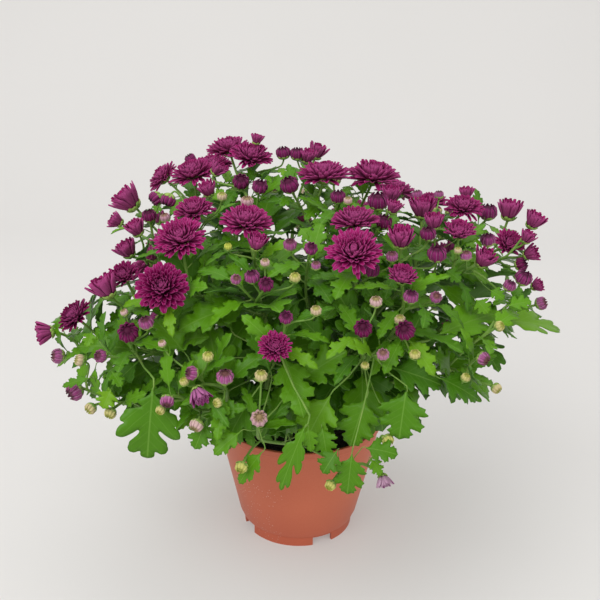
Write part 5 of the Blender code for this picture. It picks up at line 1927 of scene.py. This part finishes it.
def make_stems(stems, leaves, fillers, extras, green):
    """One piece for each stem: stalks, leaves, scales and closed buds."""
    groups = []
    for group, (limit, *pair) in ((leaves, LEAF_PAIR), (fillers, FILLER_PAIR)):
        groups.append((group, limit, [leaf_template(*values) for values in pair]))
    rng = random.Random(SEED + 2)
    for number, stem in enumerate(stems):
        form = Form()
        for path, radii, head in stem["limbs"]:
            add_limb(form, path, radii, head)
            add_calyx(form, head, rng)
        for head in stem["heads"]:
            if head["kind"] == "bud":
                add_head(form, head, BUD_SLOT, rng)
        for head in extras:
            if head["stem"] == number:
                add_extra(form, head, rng)
        for group, limit, (longer, shorter) in groups:
            for leaf in group:
                if leaf["stem"] == number:
                    template = longer if leaf["length"] > limit else shorter
                    add_leaf(form, leaf, template, leaf_tone(leaf, rng), rng)
        piece = form.make("stem_%02d_fine" % (number + 1), green)
        settle(piece, "leaf_green", "leafy_stem_%02d" % (number + 1))


def make_blooms(heads, petals):
    """One piece for each open and half-open bloom."""
    rng = random.Random(SEED + 3)
    counts = {"open": 0, "half": 0}
    names = {"open": "open_bloom", "half": "half_open_bloom"}
    slots = {"open": "petal_purple", "half": "young_petal_purple"}
    for head in heads:
        kind = head["kind"]
        if kind == "bud":
            continue
        number = counts[kind]
        counts[kind] += 1
        colours = ""
        if kind == "open":
            head["cupped"] = CUPPED_BLOOMS.get(number, rng.uniform(*CUPPED_LEAST))
            head["shade"] = BLOOM_SHADES.get(number, 0.0)
            head["broader"] = BROADER.get(number, 0.0)
        else:
            colours = HALF_HEAD_COLOURS.get(number, "")
        form = Form()
        add_head(form, head, 0, rng)
        node = "%s_%02d" % (names[kind], number + 1)
        piece = form.make(node + "_fine", [petals[colours]])
        settle(piece, slots[kind], node)


def settle(piece, slot_name, node):
    """Tie a piece to the frame in place of its solid."""
    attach(piece, "root")
    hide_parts(node)


class Nodes:
    """A small helper that writes material nodes."""

    def __init__(self, name):
        self.material = bpy.data.materials.new(name)
        self.material.use_nodes = True
        self.tree = self.material.node_tree
        self.shader = self.tree.nodes["Principled BSDF"]

    def node(self, kind, **values):
        """A new node with its own values set."""
        made = self.tree.nodes.new(kind)
        for key, value in values.items():
            setattr(made, key, value)
        return made

    def feed(self, value, socket):
        """Link an output to a socket, or set the socket to a number or a colour."""
        if isinstance(value, bpy.types.NodeSocket):
            self.tree.links.new(value, socket)
        elif isinstance(value, tuple):
            socket.default_value = (value + (1.0,))[:4]
        else:
            socket.default_value = value

    def set(self, node, **values):
        """Feed a node's inputs by their names."""
        for key, value in values.items():
            self.feed(value, node.inputs[key.replace("_", " ")])
        return node

    def attribute(self, name):
        """A value that the mesh carries."""
        return self.node("ShaderNodeAttribute", attribute_name=name).outputs

    def split(self, vector):
        """The three parts of a vector."""
        parts = self.node("ShaderNodeSeparateXYZ")
        self.feed(vector, parts.inputs[0])
        return parts.outputs

    def spot(self):
        """The place on the object."""
        return self.node("ShaderNodeTexCoord").outputs["Object"]

    def noise(self, scale, detail=3.0):
        """Soft noise over the object."""
        noise = self.node("ShaderNodeTexNoise")
        return self.set(noise, Vector=self.spot(), Scale=scale, Detail=detail).outputs["Fac"]

    def math(self, operation, *values):
        """A sum on one, two or three numbers."""
        made = self.node("ShaderNodeMath", operation=operation)
        for value, socket in zip(values, made.inputs):
            self.feed(value, socket)
        return made.outputs[0]

    def ramp(self, source, stops):
        """Colours, or greys given as numbers, by a value."""
        made = self.node("ShaderNodeValToRGB")
        self.feed(source, made.inputs["Fac"])
        marks = made.color_ramp.elements
        while len(marks) < len(stops):
            marks.new(0.5)
        for mark, (position, colour) in zip(marks, stops):
            mark.position = position
            mark.color = (colour if isinstance(colour, tuple) else (colour,) * 3) + (1.0,)
        return made.outputs["Color"]

    def mix(self, share, first, second):
        """A share of the second colour over the first."""
        made = self.node("ShaderNodeMix", data_type="RGBA")
        for value, index in ((share, 0), (first, 6), (second, 7)):
            self.feed(value, made.inputs[index])
        return made.outputs[2]

    def finish(self, height, strength, distance, **values):
        """Set the shader's inputs, raise its bumps and give the material."""
        bump = self.set(self.node("ShaderNodeBump"), Height=height, Strength=strength,
                        Distance=distance)
        self.set(self.shader, Normal=bump.outputs["Normal"], **values)
        return self.material


def leaf_material():
    """Leaf green: tones by leaf, pale veins, blotches, and a greyer underside."""
    n = Nodes("chrysanthemum_leaf")
    along, across, under = n.split(n.attribute("place")["Vector"])
    out = n.math("ABSOLUTE", across)
    green = n.ramp(n.attribute("tone")["Fac"], LEAF_GREENS)
    blotch = n.noise(55.0, 4.0)
    green = n.mix(n.math("MULTIPLY", blotch, 0.35), green, LEAF_BLOTCH)
    rib = n.math("LESS_THAN", out, 0.026)
    slant = n.math("SUBTRACT", along, n.math("MULTIPLY", out, VEIN_SLANT))
    stripe = n.math("ABSOLUTE", n.math("SINE", n.math("MULTIPLY", slant, VEIN_RATE)))
    branch = n.math("LESS_THAN", stripe, 0.10)
    vein = n.math("MAXIMUM", rib, n.math("MULTIPLY", branch, 0.65))
    green = n.mix(n.math("MULTIPLY", vein, 0.38), green, LEAF_VEIN)
    green = n.mix(n.math("MULTIPLY", under, 0.55), green, LEAF_UNDER)
    height = n.math("SUBTRACT", blotch, n.math("MULTIPLY", vein, 0.5))
    return n.finish(height, 0.35, 0.0006, Base_Color=green, Roughness=0.40,
                    Specular_IOR_Level=0.20)


def stalk_material():
    """Pale green stalks and scales, with lighter and yellower patches."""
    n = Nodes("chrysanthemum_stalk")
    patch = n.noise(120.0)
    tone = n.math("MULTIPLY", n.attribute("tone")["Fac"], 0.6)
    green = n.ramp(n.math("MULTIPLY_ADD", patch, 0.5, tone), STALK_GREENS)
    return n.finish(patch, 0.3, 0.0003, Base_Color=green, Roughness=0.52, Specular_IOR_Level=0.3)


def petal_material(name, dark, middle, light, back):
    """Petals: darker towards the heart, partly painted shade, streaked along, with a lighter back.
    """
    n = Nodes(name)
    along, across, under = n.split(n.attribute("place")["Vector"])
    tone = n.attribute("tone")["Fac"]
    # Painted shade: the level falls towards the petal's foot and the heart, partly the petals' own
    # deeper colour.
    level = n.math("MULTIPLY_ADD", tone, 0.52, n.math("MULTIPLY", along, 0.50))
    colour = n.ramp(level, ((0.08, dark), (0.55, middle), (1.0, light)))
    colour = n.mix(n.math("MULTIPLY", under, 0.7), colour, back)
    streak = n.math("ABSOLUTE", n.math("SINE", n.math("MULTIPLY", across, 18.0)))
    shade = n.math("MULTIPLY", n.math("MULTIPLY", streak, n.noise(260.0)), 0.45)
    colour = n.mix(shade, colour, dark)
    # Edges take the back's lighter colour towards the tips: partly the paler reverse, partly a
    # painted highlight.
    rim = n.math("GREATER_THAN", n.math("ABSOLUTE", n.math("SUBTRACT", across, 0.5)), 0.36)
    pale = n.math("MULTIPLY_ADD", tone, 0.70, 0.12)
    colour = n.mix(n.math("MULTIPLY", n.math("MULTIPLY", rim, along), pale), colour, back)
    return n.finish(streak, 0.25, 0.0003, Base_Color=colour, Roughness=0.55,
                    Specular_IOR_Level=0.05)


def bud_material():
    """Closed buds: tone says how far along the bud is, from green to dark purple."""
    n = Nodes("chrysanthemum_bud")
    along, across, under = n.split(n.attribute("place")["Vector"])
    tone = n.attribute("tone")["Fac"]
    rise = n.ramp(along, ((0.25, 0.0), (0.65, 1.0)))
    colour = n.mix(rise, n.ramp(tone, BUD_FOOT), n.ramp(tone, BUD_TIP))
    edge = n.math("ABSOLUTE", n.math("SUBTRACT", across, 0.5))
    groove = n.math("MULTIPLY", n.math("GREATER_THAN", edge, 0.40), n.ramp(tone, BUD_GROOVE))
    colour = n.mix(groove, colour, BUD_PALE)
    # Towards the tips in its heart a bud takes its heart colour: its own green when young, painted
    # shade when older.
    heart = n.math("MULTIPLY", n.ramp(along, ((0.84, 0.0), (0.98, 1.0))), 0.80)
    colour = n.mix(heart, colour, n.ramp(tone, BUD_HEART_COLOUR_AND_SHADE))
    return n.finish(edge, 0.3, 0.0004, Base_Color=colour, Roughness=0.5, Specular_IOR_Level=0.10)


def pot_plastic():
    """Matte terracotta plastic: faint mottling, painted shade darkening the foot, and a few lime
    specks.
    """
    n = Nodes("terracotta_pot_plastic")
    cloud = n.noise(9.0, 2.0)
    grain = n.noise(700.0, 2.0)
    colour = n.mix(n.math("MULTIPLY", grain, 0.18), n.ramp(cloud, TERRACOTTA), TERRACOTTA_GRAIN)
    specks = n.set(n.node("ShaderNodeTexVoronoi"), Vector=n.spot(), Scale=420.0)
    lime = n.math("LESS_THAN", specks.outputs["Distance"], 0.16)
    x, y, z = n.split(n.spot())
    ragged = n.math("MULTIPLY_ADD", n.noise(40.0, 2.0), 0.05, x)
    for value, limit in ((ragged, 0.002), (y, -0.02), (z, 0.062)):
        lime = n.math("MULTIPLY", lime, n.math("LESS_THAN", value, limit))
    colour = n.mix(n.math("MULTIPLY", lime, 0.55), colour, TERRACOTTA_LIME)
    # Painted shade: the colour darkens towards the foot.
    foot = n.math("MULTIPLY", n.ramp(z, ((0.004, 1.0), (0.045, 0.0))), 0.45)
    colour = n.mix(foot, colour, TERRACOTTA_FOOT_SHADE)
    return n.finish(grain, 0.15, 0.0003, Base_Color=colour,
                    Roughness=n.math("MULTIPLY_ADD", cloud, 0.15, 0.42))


def soil_material():
    """Dark crumbly potting soil."""
    n = Nodes("potting_mix")
    crumb = n.noise(260.0, 6.0)
    return n.finish(crumb, 0.9, 0.002, Base_Color=n.ramp(crumb, SOIL_BROWNS), Roughness=0.95)


def stage_material():
    """Pale paper that glows a little, painted light that softens the plant's shadow on it."""
    n = Nodes("studio_paper")
    n.set(n.shader, Base_Color=n.ramp(n.noise(1.5), PAPER), Roughness=0.9,
          Emission_Color=PAPER_GLOW, Emission_Strength=PAPER_GLOW_STRENGTH)
    return n.material


def fine_pot():
    """The pot with a rounder wall and a softened lip."""
    lip_low = POT_HEIGHT - POT_LIP_HEIGHT
    wall_high = POT_RIM_RADIUS - POT_LIP_OUT
    soft = LIP_SOFTNESS
    outside = [
        (0.0, POT_FLOOR_AT), (FOOT_INNER, POT_FLOOR_AT), (FOOT_INNER, 0.0),
        (FOOT_RADIUS, 0.0), (FOOT_RADIUS, POT_FLOOR_AT),
        (POT_FLOOR_RADIUS, POT_FLOOR_AT + POT_BEVEL), (POT_TURN_RADIUS, POT_TURN_AT),
        (POT_MID_RADIUS, POT_MID_AT), (wall_high, lip_low - 0.5 * POT_BEVEL),
        (POT_RIM_RADIUS - soft, lip_low - 0.2 * soft), (POT_RIM_RADIUS, lip_low + soft),
        (POT_RIM_RADIUS, POT_HEIGHT - soft), (POT_RIM_RADIUS - soft, POT_HEIGHT),
    ]
    inside = [
        (POT_RIM_RADIUS - POT_LIP_THICK + soft, POT_HEIGHT),
        (POT_RIM_RADIUS - POT_LIP_THICK, POT_HEIGHT - soft),
        (wall_high - POT_WALL, lip_low - 2 * POT_BEVEL),
        (POT_MID_RADIUS - POT_WALL, POT_MID_AT),
        (POT_TURN_RADIUS - POT_WALL, POT_TURN_AT + POT_BEVEL),
        (POT_FLOOR_RADIUS - 2 * POT_BEVEL, POT_FLOOR_AT + POT_WALL),
        (0.0, POT_FLOOR_AT + POT_WALL),
    ]
    pot = new_object("pot_fine", *turned_body(outside + inside, POT_SIDES))
    first = math.radians(FOOT_NOTCH_TURN)
    turns = [first + 2 * math.pi * index / FOOT_NOTCHES for index in range(FOOT_NOTCHES)]
    cut(pot, [notch_cutter(turn) for turn in turns])
    pot.data.materials.append(pot_plastic())
    pot.data.shade_smooth()
    pot.data.set_sharp_from_angle(angle=math.radians(ROUND_ANGLE))
    settle(pot, "terracotta_plastic", "pot")


def fine_soil():
    """Soil with an uneven top and loose crumbs on it."""
    rng = random.Random(SEED + 4)
    floor = POT_FLOOR_AT + POT_WALL + SEAT_GAP
    edge = soil_radius(SOIL_TOP)
    profile = [(0.0, floor), (POT_FLOOR_RADIUS - SOIL_BEVEL - POT_BEVEL, floor),
               (soil_radius(POT_TURN_AT), POT_TURN_AT + SOIL_BEVEL),
               (soil_radius(SOIL_TOP - SOIL_BEVEL), SOIL_TOP - SOIL_BEVEL)]
    profile += [(edge * share, SOIL_TOP) for share in SOIL_RINGS + (0.0,)]
    verts, faces = turned_body(profile, SOIL_SIDES)
    first, second = SOIL_WAVE_RATES
    for vert in verts:
        if vert.z > SOIL_TOP - 0.5 * SEAT_GAP:
            wave = SOIL_WAVE * math.sin(vert.x * first) * math.cos(vert.y * second)
            vert.z += wave + rng.uniform(*SOIL_ROUGHNESS)
    form = Form()
    form.add(verts, faces, 0.5, np.zeros((len(verts), 3)), 0)
    for index in range(CRUMBS):
        turn = index * GOLDEN_TURN
        reach = edge * CRUMB_REACH * math.sqrt((index + 0.5) / CRUMBS)
        middle = Vector((math.cos(turn) * reach, math.sin(turn) * reach, SOIL_TOP + CRUMB_LIFT))
        size = rng.uniform(*CRUMB_SIZES)
        turned = Matrix.Rotation(rng.uniform(0, 6), 4, "Z")
        turned = turned @ Matrix.Rotation(rng.uniform(0, 3), 4, "X")
        crumb = [middle + turned @ (Vector(tip) * size * rng.uniform(*CRUMB_STRETCH))
                 for tip in CRUMB_TIPS]
        form.add(crumb, CRUMB_FACES, rng.random(), np.zeros((len(crumb), 3)), 0)
    soil = form.make("soil_fine", [soil_material()])
    soil.data.set_sharp_from_angle(angle=math.radians(ROUND_ANGLE))
    settle(soil, "potting_soil", "soil")


def make_stage():
    """A pale floor that bends up into a backdrop."""
    profile = [(-FLOOR_REACH, 0.0), (BACKDROP_AT, 0.0)]
    for index in range(1, BACKDROP_STEPS + 1):
        turn = math.pi / 2 * index / BACKDROP_STEPS
        profile.append((BACKDROP_AT + math.sin(turn) * BACKDROP_RADIUS,
                        BACKDROP_RADIUS - math.cos(turn) * BACKDROP_RADIUS))
    profile.append((BACKDROP_AT + BACKDROP_RADIUS, FLOOR_REACH))
    verts = [(x, y, z) for y, z in profile for x in (-FLOOR_REACH, FLOOR_REACH)]
    faces = [(low, low + 1, low + 3, low + 2) for low in range(0, len(verts) - 2, 2)]
    mesh = bpy.data.meshes.new("studio_floor")
    mesh.from_pydata(verts, [], faces)
    mesh.materials.append(stage_material())
    mesh.shade_smooth()
    floor = place_object("studio_floor", mesh)


def make_lights():
    """A large soft key from the upper left and front, fill, and a pale world."""
    for name, place, size, power in LIGHTS:
        light = bpy.data.lights.new(name, "AREA")
        light.size = size
        light.energy = power
        lamp = place_object(name, light)
        lamp.location = place
        lamp.rotation_euler = (LIT_POINT - Vector(place)).to_track_quat("-Z", "Y").to_euler()
    world = bpy.context.scene.world or bpy.data.worlds.new("studio_world")
    bpy.context.scene.world = world
    world.use_nodes = True
    world.node_tree.nodes["Background"].inputs["Color"].default_value = WORLD_COLOUR
    world.node_tree.nodes["Background"].inputs["Strength"].default_value = WORLD_STRENGTH


def make_camera():
    """The photograph's point of view, in plain colours without a film look."""
    right, up, ahead = view_axes()
    data = bpy.data.cameras.new("camera")
    data.lens = LENS
    data.sensor_width = SENSOR
    camera = place_object("camera", data)
    turned = Matrix((right, up, -ahead)).transposed().to_4x4()
    camera.matrix_world = Matrix.Translation(VIEW_AT) @ turned
    bpy.context.scene.camera = camera
    bpy.context.scene.view_settings.view_transform = "Standard"


def set_ages(heads):
    """Say how far along every closed bud is."""
    ages = itertools.chain(BUD_AGES, itertools.repeat(REAR_BUD_AGE))
    for head in heads:
        if head["kind"] == "bud":
            head["age"] = next(ages)


def build():
    """Lay the plant out and make its pieces."""
    heads = all_heads()
    set_ages(heads)
    taken = []
    stems = grow_stems(heads, taken)
    leaves = grow_leaves(stems, taken, sight_cells(heads))
    extras = extra_heads(stems, taken)
    leaves += extra_leaves(stems, taken)
    wider = [dict(head, width=head["width"] + SIGHT_MARGIN) for head in heads + extras]
    cells = sight_cells(wider)
    extras += rear_extra_heads(stems, heads + extras, taken)
    fillers = grow_fillers(stems, taken, cells, random.Random(SEED + 5))
    for index, leaf in enumerate(leaves + fillers):
        leaf["shade"] = LEAF_SHADES.get(index, 0.0)
    petals = {}
    for key, colours in PETAL_COLOURS.items():
        name = "chrysanthemum_%s_petal" % key if key else "chrysanthemum_petal"
        petals[key] = petal_material(name, *colours)
    green = [stalk_material(), leaf_material(), bud_material(), petals[""]]
    make_stems(stems, leaves, fillers, extras, green)
    make_blooms(heads, petals)
    fine_pot()
    fine_soil()


build()
make_stage()
make_lights()
make_camera()
